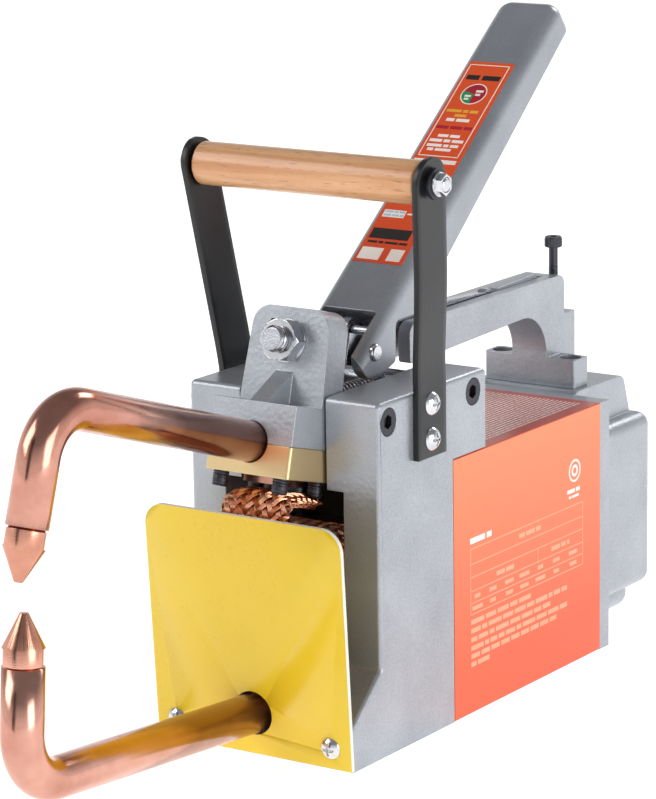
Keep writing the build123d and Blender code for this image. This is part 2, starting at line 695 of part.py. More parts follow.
# ---- carrying handle ----------------------------------------------------------------------
def strap(flares, rest):
    lower = span(HALF_WIDTH, HALF_WIDTH + STRAP_THICK, STRAP_Y - STRAP_WIDTH / 2, STRAP_Y + STRAP_WIDTH / 2,
                 114.9, STRAP_BEND)
    middle = span(0, STRAP_THICK, -STRAP_WIDTH / 2, STRAP_WIDTH / 2, -0.4, STRAP_KNEE)
    upper = span(0, STRAP_THICK, -STRAP_WIDTH / 2, STRAP_WIDTH / 2, -0.2, rest)
    upper += bar_x(STRAP_WIDTH / 2, 0, STRAP_THICK, 0, rest)
    body = lower + strap_frame(flares[0]) * middle + knee_frame(flares) * upper
    body -= span(HALF_WIDTH - 3, HALF_WIDTH, 0, 70, 100, STRAP_BEND + 3)
    for z in STRAP_SCREW_Z:
        body -= bar_x(2.6, HALF_WIDTH - 5, HALF_WIDTH + 5, STRAP_Y, z)
    return body - bar_x(3.1, 30, 80, GRIP_AT.Y, GRIP_AT.Z)


def strap_screws():
    shapes = []
    for z in STRAP_SCREW_Z:
        screw = Pos(HALF_WIDTH + STRAP_THICK, STRAP_Y, z) * Rot(0, 90, 0) * pan_screw(4.9, 2.8, 2.5, 13)
        shapes += [screw, mirrored(screw)]
    return group(shapes)


def wooden_grip():
    grip = bar_x(GRIP_RADIUS, -GRIP_LEFT + 1.2, GRIP_RIGHT - 1.2, GRIP_AT.Y, GRIP_AT.Z)
    grip = fillet(grip.edges(), 1.2)
    return grip - bar_x(3.0 + RUNNING, -70, 70, GRIP_AT.Y, GRIP_AT.Z)


def grip_bolt():
    bolt = bar_x(3.0, -GRIP_LEFT - 6, GRIP_RIGHT + 9.2, GRIP_AT.Y, GRIP_AT.Z)
    bolt = fillet(bolt.edges().sort_by(Axis.X)[-1:], 1.4)
    seat = -GRIP_LEFT - STRAP_THICK - 2.4
    head = bar_x(5.2, seat - 2.4, seat, GRIP_AT.Y, GRIP_AT.Z)
    return bolt + fillet(head.edges().sort_by(Axis.X)[:1], 1.6)


def grip_nut():
    base = GRIP_RIGHT + STRAP_THICK + 2.4
    flange = bar_x(4.8, base, base + 1.3, GRIP_AT.Y, GRIP_AT.Z)
    nut = Pos(base, GRIP_AT.Y, GRIP_AT.Z) * Rot(0, 90, 0) * hexagon_z(7.6, 1.2, 3.9)
    return flange + nut - bar_x(3.0, 30, 90, GRIP_AT.Y, GRIP_AT.Z)


def grip_washers():
    shapes = []
    for base in (GRIP_RIGHT + STRAP_THICK + 1.0, -GRIP_LEFT - STRAP_THICK - 2.4):
        washer = bar_x(6.2, base, base + 1.4, GRIP_AT.Y, GRIP_AT.Z)
        shapes.append(washer - bar_x(3.0, base - 1, base + 3, GRIP_AT.Y, GRIP_AT.Z))
    return group(shapes)


# ---- build ----------------------------------------------------------------------------------
def parts():
    """Every node by name."""
    return {
        "front_housing": front_housing(),
        "transformer_case": transformer_case(),
        "side_labels": side_labels(),
        "top_label": top_label(),
        "core_laminations": core_laminations(),
        "coil_bobbin": coil_bobbin(),
        "primary_coil": primary_coil(),
        "secondary_loop": secondary_loop(),
        "rear_frame": rear_frame(),
        "rear_cover": rear_cover(),
        "cover_screws": cover_screws(),
        "cord_bush": cord_bush(),
        "guard_plate": guard_plate(),
        "guard_screws": guard_screws(),
        "lower_arm": lower_arm(),
        "lower_tip": lower_tip(),
        "lower_clamp": lower_clamp(),
        "lower_clamp_screws": lower_clamp_screws(),
        "pivot_shaft": pivot_shaft(),
        "tie_shaft": tie_shaft(),
        "side_screws": side_screws(),
        "return_spring": return_spring(),
        "arm_holder": arm_holder(),
        "brass_clamp": brass_clamp(),
        "clamp_screws": clamp_screws(),
        "upper_arm": upper_arm(),
        "upper_tip": upper_tip(),
        "upper_braid_lug": upper_braid_lug(),
        "braid_bolts": braid_bolts(),
        "copper_braid": copper_braid(),
        "lower_braid_lug": lower_braid_lug(),
        "terminal_bolts": terminal_bolts(),
        "pressure_rod": pressure_rod(),
        "adjusting_nut": adjusting_nut(),
        "nut_washer": nut_washer(),
        "pressure_spring": pressure_spring(),
        "lever": lever(),
        "lever_pin": lever_pin(),
        "link_pin": link_pin(),
        "lever_label": lever_label(),
        "toggle_link": toggle_link(),
        "ground_pin": ground_pin(),
        "lever_bracket": lever_bracket(),
        "bracket_bolts": bracket_bolts(),
        "bracket_key": bracket_key(),
        "switch_holder": switch_holder(),
        "switch_screw": switch_screw(),
        "plunger_spring": plunger_spring(),
        "micro_switch": micro_switch(),
        "strap_right": strap(RIGHT_FLARES, RIGHT_REST),
        "strap_left": mirrored(strap(LEFT_FLARES, STRAP_LENGTH - STRAP_KNEE)),
        "strap_screws": strap_screws(),
        "wooden_grip": wooden_grip(),
        "grip_bolt": grip_bolt(),
        "grip_nut": grip_nut(),
        "grip_washers": grip_washers(),
    }


os.makedirs("parts", exist_ok=True)
for node, shape in parts().items():
    export_step(shape, f"parts/{node}.step")
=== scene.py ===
"""Portable spot welder: its looks, lights and camera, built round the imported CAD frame."""
import json
import logging
from dataclasses import dataclass, field
from enum import Enum
from math import cos, pi, radians, sin, tan

import bmesh
import bpy
from mathutils import Matrix, Vector


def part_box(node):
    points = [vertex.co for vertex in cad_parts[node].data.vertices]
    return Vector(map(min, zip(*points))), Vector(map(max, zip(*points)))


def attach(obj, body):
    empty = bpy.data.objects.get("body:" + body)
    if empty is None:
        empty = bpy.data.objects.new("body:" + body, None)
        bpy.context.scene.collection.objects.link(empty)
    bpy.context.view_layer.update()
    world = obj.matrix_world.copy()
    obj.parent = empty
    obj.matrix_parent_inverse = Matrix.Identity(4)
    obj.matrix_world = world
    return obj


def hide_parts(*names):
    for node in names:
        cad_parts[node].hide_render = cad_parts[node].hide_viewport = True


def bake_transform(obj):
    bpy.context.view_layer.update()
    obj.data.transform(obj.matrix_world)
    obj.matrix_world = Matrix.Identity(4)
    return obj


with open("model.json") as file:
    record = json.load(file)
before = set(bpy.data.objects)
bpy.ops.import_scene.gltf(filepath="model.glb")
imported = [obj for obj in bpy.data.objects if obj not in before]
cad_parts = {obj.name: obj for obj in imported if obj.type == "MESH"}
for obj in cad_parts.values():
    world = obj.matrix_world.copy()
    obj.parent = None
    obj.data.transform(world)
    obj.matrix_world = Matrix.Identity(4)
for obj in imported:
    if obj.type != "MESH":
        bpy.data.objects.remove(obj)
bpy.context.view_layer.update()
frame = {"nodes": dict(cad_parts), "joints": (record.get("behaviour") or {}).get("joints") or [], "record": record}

log = logging.getLogger("spot_welder")

MM = 0.001
Point = tuple[float, float, float]
Colour = tuple[float, float, float]
Rect = tuple[float, float, float, float]

# How the tilted parts lie, in degrees about X.
LEVER_ANGLE = 37.9
ROCKER_TILT = -15.0
PLATE_TILT = 3.7

# How far print starts above its label, in millimetres.
INK_FOOT = 0.005


def linear(code: str) -> Colour:
    """Turn a screen colour into the linear one that shaders use.

    Args:
        code: six hexadecimal digits.

    Returns:
        Red, green and blue, each from 0 to 1.
    """
    parts = [int(code[i:i + 2], 16) / 255 for i in (0, 2, 4)]
    return tuple(c / 12.92 if c <= 0.04045 else ((c + 0.055) / 1.055) ** 2.4 for c in parts)


# ---- finishes ------------------------------------------------------------------------------
@dataclass(frozen=True)
class HammerPaint:
    """Metallic paint that dries with a fine hammered relief on a casting."""

    name: str
    light: Colour
    dark: Colour
    metallic: float = 0.55
    roughness: float = 0.34
    cell: float = 620.0
    relief: float = 0.22

    def material(self) -> bpy.types.Material:
        """Write the paint's nodes.

        Returns:
            The finished material.
        """
        made = bpy.data.materials.new(self.name)
        made.use_nodes = True
        nodes, links = made.node_tree.nodes, made.node_tree.links
        nodes.clear()
        tint = nodes.new("NodeFrame")
        tint.label = "Paint colour"
        skin = nodes.new("NodeFrame")
        skin.label = "Hammered relief"
        place = nodes.new("ShaderNodeTexCoord")
        place.label, place.location = "Where on the casting", (-1100, 0)
        cloud = nodes.new("ShaderNodeTexNoise")
        cloud.label, cloud.location, cloud.parent = "Patches where the flake lies differently", (-850, 300), tint
        cloud.inputs["Scale"].default_value = 38.0
        cloud.inputs["Detail"].default_value = 4.0
        flake = nodes.new("ShaderNodeTexNoise")
        flake.label, flake.location, flake.parent = "Single flakes of aluminium", (-850, 60), tint
        flake.inputs["Scale"].default_value = 1900.0
        flake.inputs["Detail"].default_value = 1.0
        both = nodes.new("ShaderNodeMix")
        both.label, both.location, both.parent = "Flakes over patches", (-620, 200), tint
        both.inputs["Factor"].default_value = 0.5
        ramp = nodes.new("ShaderNodeValToRGB")
        ramp.label, ramp.location, ramp.parent = "Dark to light silver", (-420, 200), tint
        ramp.color_ramp.elements[0].position = 0.32
        ramp.color_ramp.elements[0].color = (*self.dark, 1)
        ramp.color_ramp.elements[1].position = 0.68
        ramp.color_ramp.elements[1].color = (*self.light, 1)
        cells = nodes.new("ShaderNodeTexVoronoi")
        cells.label, cells.location, cells.parent = "Hammered cells", (-850, -260), skin
        cells.feature = "SMOOTH_F1"
        cells.inputs["Scale"].default_value = self.cell
        cells.inputs["Smoothness"].default_value = 0.9
        cells.inputs["Randomness"].default_value = 1.0
        swell = nodes.new("ShaderNodeTexNoise")
        swell.label, swell.location, swell.parent = "Slow swell of the casting", (-850, -520), skin
        swell.inputs["Scale"].default_value = 150.0
        swell.inputs["Detail"].default_value = 3.0
        height = nodes.new("ShaderNodeMix")
        height.label, height.location, height.parent = "Cells on the swell", (-620, -360), skin
        height.inputs["Factor"].default_value = 0.35
        bump = nodes.new("ShaderNodeBump")
        bump.label, bump.location, bump.parent = "Relief", (-420, -360), skin
        bump.inputs["Strength"].default_value = self.relief
        bump.inputs["Distance"].default_value = 0.0005
        gloss = nodes.new("ShaderNodeMapRange")
        gloss.label, gloss.location, gloss.parent = "Gloss changes with the patches", (-420, -60), skin
        gloss.inputs["To Min"].default_value = self.roughness - 0.05
        gloss.inputs["To Max"].default_value = self.roughness + 0.10
        shader = nodes.new("ShaderNodeBsdfPrincipled")
        shader.label, shader.location = "Silver paint", (0, 100)
        shader.inputs["Metallic"].default_value = self.metallic
        shader.inputs["Coat Weight"].default_value = 0.35
        shader.inputs["Coat Roughness"].default_value = 0.18
        out = nodes.new("ShaderNodeOutputMaterial")
        out.label, out.location = "Surface", (320, 100)
        links.new(place.outputs["Object"], cloud.inputs["Vector"])
        links.new(place.outputs["Object"], flake.inputs["Vector"])
        links.new(place.outputs["Object"], cells.inputs["Vector"])
        links.new(place.outputs["Object"], swell.inputs["Vector"])
        links.new(cloud.outputs["Fac"], both.inputs["A"])
        links.new(flake.outputs["Fac"], both.inputs["B"])
        links.new(both.outputs["Result"], ramp.inputs["Fac"])
        links.new(ramp.outputs["Color"], shader.inputs["Base Color"])
        links.new(cells.outputs["Distance"], height.inputs["A"])
        links.new(swell.outputs["Fac"], height.inputs["B"])
        links.new(height.outputs["Result"], bump.inputs["Height"])
        links.new(bump.outputs["Normal"], shader.inputs["Normal"])
        links.new(cloud.outputs["Fac"], gloss.inputs["Value"])
        links.new(gloss.outputs["Result"], shader.inputs["Roughness"])
        links.new(shader.outputs["BSDF"], out.inputs["Surface"])
        return made


@dataclass(frozen=True)
class WornSurface:
    """Bare, plated or oiled metal, film, rubber or plain paint, with handling marks."""

    name: str
    light: Colour
    dark: Colour
    metallic: float = 1.0
    roughness: float = 0.25
    spread: float = 0.08
    mottle: float = 45.0
    grain: float = 900.0
    stretch: Point = (1.0, 1.0, 1.0)
    relief: float = 0.08
    depth: float = 0.0003
    coat: float = 0.0
    turn: float = 0.0

    def material(self) -> bpy.types.Material:
        """Write the surface's nodes.

        Returns:
            The finished material.
        """
        made = bpy.data.materials.new(self.name)
        made.use_nodes = True
        nodes, links = made.node_tree.nodes, made.node_tree.links
        nodes.clear()
        tint = nodes.new("NodeFrame")
        tint.label = "Tarnish and colour"
        skin = nodes.new("NodeFrame")
        skin.label = "Tool marks"
        place = nodes.new("ShaderNodeTexCoord")
        place.label, place.location = "Where on the part", (-1250, 0)
        lay = nodes.new("ShaderNodeMapping")
        lay.label, lay.location, lay.parent = "Lay of the tool marks", (-1050, -200), skin
        lay.inputs["Rotation"].default_value = (radians(self.turn), 0, 0)
        lay.inputs["Scale"].default_value = self.stretch
        cloud = nodes.new("ShaderNodeTexNoise")
        cloud.label, cloud.location, cloud.parent = "Clouds of tarnish", (-820, 260), tint
        cloud.inputs["Scale"].default_value = self.mottle
        cloud.inputs["Detail"].default_value = 5.0
        cloud.inputs["Roughness"].default_value = 0.6
        ramp = nodes.new("ShaderNodeValToRGB")
        ramp.label, ramp.location, ramp.parent = "Dull to bright", (-420, 260), tint
        ramp.color_ramp.elements[0].position = 0.3
        ramp.color_ramp.elements[0].color = (*self.dark, 1)
        ramp.color_ramp.elements[1].position = 0.7
        ramp.color_ramp.elements[1].color = (*self.light, 1)
        marks = nodes.new("ShaderNodeTexNoise")
        marks.label, marks.location, marks.parent = "Fine marks and pits", (-820, -200), skin
        marks.inputs["Scale"].default_value = self.grain
        marks.inputs["Detail"].default_value = 3.0
        bump = nodes.new("ShaderNodeBump")
        bump.label, bump.location, bump.parent = "Depth of the marks", (-420, -320), skin
        bump.inputs["Strength"].default_value = self.relief
        bump.inputs["Distance"].default_value = self.depth
        blend = nodes.new("ShaderNodeMix")
        blend.label, blend.location, blend.parent = "Marks and clouds together", (-620, 20), skin
        blend.inputs["Factor"].default_value = 0.5
        gloss = nodes.new("ShaderNodeMapRange")
        gloss.label, gloss.location, gloss.parent = "Gloss follows both", (-420, -40), skin
        gloss.inputs["From Min"].default_value = 0.3
        gloss.inputs["From Max"].default_value = 0.7
        gloss.inputs["To Min"].default_value = max(0.02, self.roughness - self.spread)
        gloss.inputs["To Max"].default_value = self.roughness + self.spread
        shader = nodes.new("ShaderNodeBsdfPrincipled")
        shader.label, shader.location = "Surface of " + self.name.replace("_", " "), (0, 100)
        shader.inputs["Metallic"].default_value = self.metallic
        shader.inputs["Coat Weight"].default_value = self.coat
        shader.inputs["Coat Roughness"].default_value = 0.08
        out = nodes.new("ShaderNodeOutputMaterial")
        out.label, out.location = "Surface", (320, 100)
        links.new(place.outputs["Object"], cloud.inputs["Vector"])
        links.new(place.outputs["Object"], lay.inputs["Vector"])
        links.new(lay.outputs["Vector"], marks.inputs["Vector"])
        links.new(cloud.outputs["Fac"], ramp.inputs["Fac"])
        links.new(ramp.outputs["Color"], shader.inputs["Base Color"])
        links.new(cloud.outputs["Fac"], blend.inputs["A"])
        links.new(marks.outputs["Fac"], blend.inputs["B"])
        links.new(blend.outputs["Result"], gloss.inputs["Value"])
        links.new(gloss.outputs["Result"], shader.inputs["Roughness"])
        links.new(marks.outputs["Fac"], bump.inputs["Height"])
        links.new(bump.outputs["Normal"], shader.inputs["Normal"])
        links.new(shader.outputs["BSDF"], out.inputs["Surface"])
        return made


@dataclass(frozen=True)
class Beech:
    """Varnished beech with its grain along X and short dark flecks."""

    name: str
    light: Colour
    dark: Colour
    fleck: Colour

    def material(self) -> bpy.types.Material:
        """Write the wood's nodes.

        Returns:
            The finished material.
        """
        made = bpy.data.materials.new(self.name)
        made.use_nodes = True
        nodes, links = made.node_tree.nodes, made.node_tree.links
        nodes.clear()
        grain = nodes.new("NodeFrame")
        grain.label = "Grain"
        flecks = nodes.new("NodeFrame")
        flecks.label = "Flecks"
        place = nodes.new("ShaderNodeTexCoord")
        place.label, place.location = "Where on the grip", (-1300, 0)
        along = nodes.new("ShaderNodeMapping")
        along.label, along.location, along.parent = "Grain runs along the grip", (-1100, 200), grain
        along.inputs["Scale"].default_value = (7.0, 130.0, 130.0)
        rings = nodes.new("ShaderNodeTexNoise")
        rings.label, rings.location, rings.parent = "Year rings", (-880, 200), grain
        rings.inputs["Scale"].default_value = 1.6
        rings.inputs["Detail"].default_value = 6.0
        rings.inputs["Distortion"].default_value = 0.6
        ramp = nodes.new("ShaderNodeValToRGB")
        ramp.label, ramp.location, ramp.parent = "Early and late wood", (-640, 200), grain
        ramp.color_ramp.elements[0].position = 0.36
        ramp.color_ramp.elements[0].color = (*self.dark, 1)
        ramp.color_ramp.elements[1].position = 0.62
        ramp.color_ramp.elements[1].color = (*self.light, 1)
        short = nodes.new("ShaderNodeMapping")
        short.label, short.location, short.parent = "Flecks are short and thin", (-1100, -200), flecks
        short.inputs["Scale"].default_value = (160.0, 1500.0, 1500.0)
        dots = nodes.new("ShaderNodeTexNoise")
        dots.label, dots.location, dots.parent = "Medullary flecks", (-880, -200), flecks
        dots.inputs["Scale"].default_value = 1.0
        dots.inputs["Detail"].default_value = 2.0
        cut = nodes.new("ShaderNodeMapRange")
        cut.label, cut.location, cut.parent = "Keep the strongest flecks", (-640, -200), flecks
        cut.inputs["From Min"].default_value = 0.60
        cut.inputs["From Max"].default_value = 0.72
        cut.inputs["To Max"].default_value = 0.7
        mix = nodes.new("ShaderNodeMix")
        mix.label, mix.location = "Flecks on the grain", (-380, 60)
        mix.data_type = "RGBA"
        mix.inputs[7].default_value = (*self.fleck, 1)
        bump = nodes.new("ShaderNodeBump")
        bump.label, bump.location = "Open pores", (-380, -260)
        bump.inputs["Strength"].default_value = 0.08
        bump.inputs["Distance"].default_value = 0.0002
        shader = nodes.new("ShaderNodeBsdfPrincipled")
        shader.label, shader.location = "Varnished beech", (-100, 60)
        shader.inputs["Roughness"].default_value = 0.38
        shader.inputs["Coat Weight"].default_value = 0.6
        shader.inputs["Coat Roughness"].default_value = 0.12
        out = nodes.new("ShaderNodeOutputMaterial")
        out.label, out.location = "Surface", (220, 60)
        links.new(place.outputs["Object"], along.inputs["Vector"])
        links.new(place.outputs["Object"], short.inputs["Vector"])
        links.new(along.outputs["Vector"], rings.inputs["Vector"])
        links.new(short.outputs["Vector"], dots.inputs["Vector"])
        links.new(rings.outputs["Fac"], ramp.inputs["Fac"])
        links.new(dots.outputs["Fac"], cut.inputs["Value"])
        links.new(cut.outputs["Result"], mix.inputs["Factor"])
        links.new(ramp.outputs["Color"], mix.inputs[6])
        links.new(mix.outputs[2], shader.inputs["Base Color"])
        links.new(dots.outputs["Fac"], bump.inputs["Height"])
        links.new(bump.outputs["Normal"], shader.inputs["Normal"])
        links.new(shader.outputs["BSDF"], out.inputs["Surface"])
        return made


@dataclass(frozen=True)
class PrintedFilm:
    """Glossy printed label film that fades from one colour to another down its height."""

    name: str
    top: Colour
    bottom: Colour
    low: float
    high: float
    roughness: float = 0.34

    def material(self) -> bpy.types.Material:
        """Write the film's nodes.

        Returns:
            The finished material.
        """
        made = bpy.data.materials.new(self.name)
        made.use_nodes = True
        nodes, links = made.node_tree.nodes, made.node_tree.links
        nodes.clear()
        ink = nodes.new("NodeFrame")
        ink.label = "Ink"
        film = nodes.new("NodeFrame")
        film.label = "Film surface"
        place = nodes.new("ShaderNodeTexCoord")
        place.label, place.location = "Where on the label", (-1200, 0)
        split = nodes.new("ShaderNodeSeparateXYZ")
        split.label, split.location, split.parent = "Height on the label", (-1000, 220), ink
        fade = nodes.new("ShaderNodeMapRange")
        fade.label, fade.location, fade.parent = "Bottom to top", (-800, 220), ink
        fade.inputs["From Min"].default_value = self.low
        fade.inputs["From Max"].default_value = self.high
        # The film's colour runs from the bottom colour to the top colour with height on the label; the top colour is
        # the lighter one.
        ramp = nodes.new("ShaderNodeValToRGB")
        ramp.label, ramp.location, ramp.parent = "Lighter towards the top", (-600, 220), ink
        ramp.color_ramp.elements[0].color = (*self.bottom, 1)
        ramp.color_ramp.elements[1].color = (*self.top, 1)
        dots = nodes.new("ShaderNodeTexNoise")
        dots.label, dots.location, dots.parent = "Slight unevenness of the ink", (-800, -20), ink
        dots.inputs["Scale"].default_value = 300.0
        dots.inputs["Detail"].default_value = 3.0
        shade = nodes.new("ShaderNodeMapRange")
        shade.label, shade.location, shade.parent = "Keep the unevenness faint", (-600, -20), ink
        shade.inputs["To Min"].default_value = 0.97
        shade.inputs["To Max"].default_value = 1.03
        tone = nodes.new("ShaderNodeHueSaturation")
        tone.label, tone.location, tone.parent = "Uneven ink", (-380, 160), ink
        skin = nodes.new("ShaderNodeTexNoise")
        skin.label, skin.location, skin.parent = "Orange peel in the film", (-800, -300), film
        skin.inputs["Scale"].default_value = 420.0
        bump = nodes.new("ShaderNodeBump")
        bump.label, bump.location, bump.parent = "Film relief", (-380, -260), film
        bump.inputs["Strength"].default_value = 0.03
        bump.inputs["Distance"].default_value = 0.0002
        shader = nodes.new("ShaderNodeBsdfPrincipled")
        shader.label, shader.location = "Printed film", (-100, 60)
        shader.inputs["Roughness"].default_value = self.roughness
        shader.inputs["Coat Weight"].default_value = 0.25
        shader.inputs["Coat Roughness"].default_value = 0.2
        out = nodes.new("ShaderNodeOutputMaterial")
        out.label, out.location = "Surface", (220, 60)
        links.new(place.outputs["Object"], split.inputs["Vector"])
        links.new(place.outputs["Object"], dots.inputs["Vector"])
        links.new(place.outputs["Object"], skin.inputs["Vector"])
        links.new(split.outputs["Z"], fade.inputs["Value"])
        links.new(fade.outputs["Result"], ramp.inputs["Fac"])
        links.new(ramp.outputs["Color"], tone.inputs["Color"])
        links.new(dots.outputs["Fac"], shade.inputs["Value"])
        links.new(shade.outputs["Result"], tone.inputs["Value"])
        links.new(tone.outputs["Color"], shader.inputs["Base Color"])
        links.new(skin.outputs["Fac"], bump.inputs["Height"])
        links.new(bump.outputs["Normal"], shader.inputs["Normal"])
        links.new(shader.outputs["BSDF"], out.inputs["Surface"])
        return made


@dataclass(frozen=True)
class StackedLayers:
    """Thin layers side by side, such as laminations or the turns of a winding."""

    name: str
    light: Colour
    dark: Colour
    turn: Point
    layers: float
    metallic: float

    def material(self) -> bpy.types.Material:
        """Write the layers' nodes.

        Returns:
            The finished material.
        """
        made = bpy.data.materials.new(self.name)
        made.use_nodes = True
        nodes, links = made.node_tree.nodes, made.node_tree.links
        nodes.clear()
        stack = nodes.new("NodeFrame")
        stack.label = "Layers"
        place = nodes.new("ShaderNodeTexCoord")
        place.label, place.location = "Where on the stack", (-1100, 0)
        turn = nodes.new("ShaderNodeMapping")
        turn.label, turn.location, turn.parent = "Turn the layers", (-900, 0), stack
        turn.inputs["Rotation"].default_value = tuple(radians(a) for a in self.turn)
        bands = nodes.new("ShaderNodeTexWave")
        bands.label, bands.location, bands.parent = "Layer after layer", (-680, 0), stack
        bands.inputs["Scale"].default_value = self.layers
        bands.inputs["Distortion"].default_value = 0.4
        bands.inputs["Detail"].default_value = 1.0
        ramp = nodes.new("ShaderNodeValToRGB")
        ramp.label, ramp.location, ramp.parent = "Gap and layer", (-440, 140), stack
        ramp.color_ramp.elements[0].color = (*self.dark, 1)
        ramp.color_ramp.elements[1].position = 0.6
        ramp.color_ramp.elements[1].color = (*self.light, 1)
        bump = nodes.new("ShaderNodeBump")
        bump.label, bump.location, bump.parent = "Round of each layer", (-440, -160), stack
        bump.inputs["Strength"].default_value = 0.5
        bump.inputs["Distance"].default_value = 0.0003
        shader = nodes.new("ShaderNodeBsdfPrincipled")
        shader.label, shader.location = "Layered stack", (-140, 60)
        shader.inputs["Metallic"].default_value = self.metallic
        shader.inputs["Roughness"].default_value = 0.4
        out = nodes.new("ShaderNodeOutputMaterial")
        out.label, out.location = "Surface", (180, 60)
        links.new(place.outputs["Object"], turn.inputs["Vector"])
        links.new(turn.outputs["Vector"], bands.inputs["Vector"])
        links.new(bands.outputs["Fac"], ramp.inputs["Fac"])
        links.new(ramp.outputs["Color"], shader.inputs["Base Color"])
        links.new(bands.outputs["Fac"], bump.inputs["Height"])
        links.new(bump.outputs["Normal"], shader.inputs["Normal"])
        links.new(shader.outputs["BSDF"], out.inputs["Surface"])
        return made


class Finish(Enum):
    """The finishes of the welder, each made once and shared."""

    CASTING = HammerPaint("silver_hammer_paint", linear("B6BAC0"), linear("969AA1"), relief=0.34, cell=520.0)
    LEVER = HammerPaint("silver_lever_paint", linear("A9ADB3"), linear("92969D"), relief=0.10, roughness=0.30,
                        metallic=0.60)
    COPPER = WornSurface("bare_copper", linear("E0AA98"), linear("B87C6A"), roughness=0.19, spread=0.07,
                         mottle=28.0, grain=260.0, stretch=(4.0, 0.6, 1.4), relief=0.10, depth=0.0002)
    TIP = WornSurface("turned_copper", linear("E4AC98"), linear("C4866E"), roughness=0.22, spread=0.05,
                      grain=700.0, stretch=(0.2, 0.2, 4.0), relief=0.12)
    # Painted light: the braid's wire colours are paler than the bare copper's, standing in for the fill light that
    # reaches the braid.
    STRAND = WornSurface("braid_wire", linear("F4BC9C"), linear("D08A66"), roughness=0.30, mottle=160.0)
    BRASS = WornSurface("cast_brass", linear("C69A54"), linear("6E4D22"), roughness=0.40, spread=0.16,
                        mottle=820.0, grain=1100.0, relief=0.9, depth=0.0006)
    CHROME = WornSurface("nickel_plate", linear("E4E5E8"), linear("C2C4C8"), roughness=0.14, spread=0.05)
    STEEL = WornSurface("ground_steel", linear("C9CBD0"), linear("9FA2A8"), roughness=0.26, grain=600.0,
                        stretch=(1.0, 0.2, 3.0), relief=0.2)
    OXIDE = WornSurface("black_oxide", linear("2C2D30"), linear("17181A"), metallic=0.7, roughness=0.38)
    STRAP = WornSurface("satin_black_paint", linear("121316"), linear("0B0C0E"), metallic=0.0, roughness=0.36,
                        relief=0.12, grain=1300.0)
    GUARD = WornSurface("yellow_sheet", linear("EBCB2A"), linear("E2BF22"), metallic=0.0, roughness=0.32,
                        mottle=14.0, relief=0.03, grain=500.0, coat=0.3)
    GUARD_EDGE = WornSurface("white_sheet_edge", linear("F4F3EC"), linear("E2E0D6"), metallic=0.0, roughness=0.5)
    SIDE_FILM = PrintedFilm("orange_label_film", linear("FB8450"), linear("F2551C"), 0.02, 0.11)
    TOP_FILM = PrintedFilm("red_label_film", linear("D8492C"), linear("C23A22"), 0.0, 0.2)
    LEVER_FILM = PrintedFilm("lever_label_film", linear("E8520F"), linear("E04A12"), 0.17, 0.27)
    FAINT_PRINT = WornSurface("faint_print", linear("F9AE8C"), linear("F7A079"), metallic=0.0, roughness=0.4)
    WHITE_PRINT = WornSurface("white_print", linear("FFF6F0"), linear("F6E6DC"), metallic=0.0, roughness=0.4)
    BLACK_PRINT = WornSurface("black_print", linear("241A18"), linear("1A1312"), metallic=0.0, roughness=0.4)
    YELLOW_PRINT = WornSurface("yellow_print", linear("F2B63A"), linear("E8A62E"), metallic=0.0, roughness=0.4)
    BLUE_PRINT = WornSurface("blue_print", linear("B9D4E4"), linear("9CC0D6"), metallic=0.0, roughness=0.4)
    RED_PRINT = WornSurface("dial_red", linear("B3142C"), linear("A01026"), metallic=0.0, roughness=0.35)
    GREEN_PRINT = WornSurface("dial_green", linear("1E9A55"), linear("178348"), metallic=0.0, roughness=0.35)
    BEECH = Beech("varnished_beech", linear("E2AC7C"), linear("C98B58"), linear("9A5F33"))
    CORE = StackedLayers("core_laminations", linear("6A6C70"), linear("2A2B2E"), (0, 0, 0), 320.0, 0.6)
    WINDING = StackedLayers("enamelled_winding", linear("C5713A"), linear("5A2A12"), (0, 90, 0), 160.0, 0.8)
    RUBBER = WornSurface("cord_bush_rubber", linear("232323"), linear("161616"), metallic=0.0, roughness=0.6,
                         relief=0.25)
    MOULDED = WornSurface("moulded_insulation", linear("2B2623"), linear("1C1917"), metallic=0.0, roughness=0.45,
                          relief=0.15)

    def get(self) -> bpy.types.Material:
        """Return this finish's material, making it the first time."""
        return bpy.data.materials.get(self.value.name) or self.value.material()


# ---- mesh makers -----------------------------------------------------------------------------
def new_piece(name: str, points: list[Point], faces: list[tuple[int, ...]],
              finishes: list[Finish]) -> bpy.types.Object:
    """Make an object from points and faces.

    Args:
        name: the piece's name.
        points: corners, in metres.
        faces: corner numbers of each face.
        finishes: the finishes on its material slots.

    Returns:
        The new object, linked to the scene.
    """
    mesh = bpy.data.meshes.new(name)
    mesh.from_pydata([tuple(p) for p in points], [], faces)
    mesh.update()
    piece = bpy.data.objects.new(name, mesh)
    bpy.context.scene.collection.objects.link(piece)
    for finish in finishes:
        mesh.materials.append(finish.get())
    return piece


def plain_mesh(piece: bpy.types.Object) -> None:
    """Replace a piece's mesh by its evaluated one and drop its modifiers.

    Args:
        piece: the object whose modifiers are applied.
    """
    graph = bpy.context.evaluated_depsgraph_get()
    mesh = bpy.data.meshes.new_from_object(piece.evaluated_get(graph))
    piece.modifiers.clear()
    piece.data = mesh


def hand_over(piece: bpy.types.Object, body: str, slot: str, *nodes: str) -> str:
    """Parent a finished piece to the empty of the body it rides on, and hide the CAD nodes it stands in for.

    Args:
        piece: the finished object.
        body: the CAD body it rides on.
        slot: not used.
        nodes: CAD nodes that it replaces.

    Returns:
        The piece's name.
    """
    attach(piece, body)
    if nodes:
        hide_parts(*nodes)
    return piece.name


def body_of_node(node: str) -> str:
    """Return the body that holds a CAD node."""
    return next(b for b, members in frame["record"]["behaviour"]["bodies"].items() if node in members)


def slot_of_node(node: str) -> str:
    """Return the record's material slot of a CAD node."""
    return next(s["material_slot"] for s in frame["record"]["subparts"] if s["node"] == node)


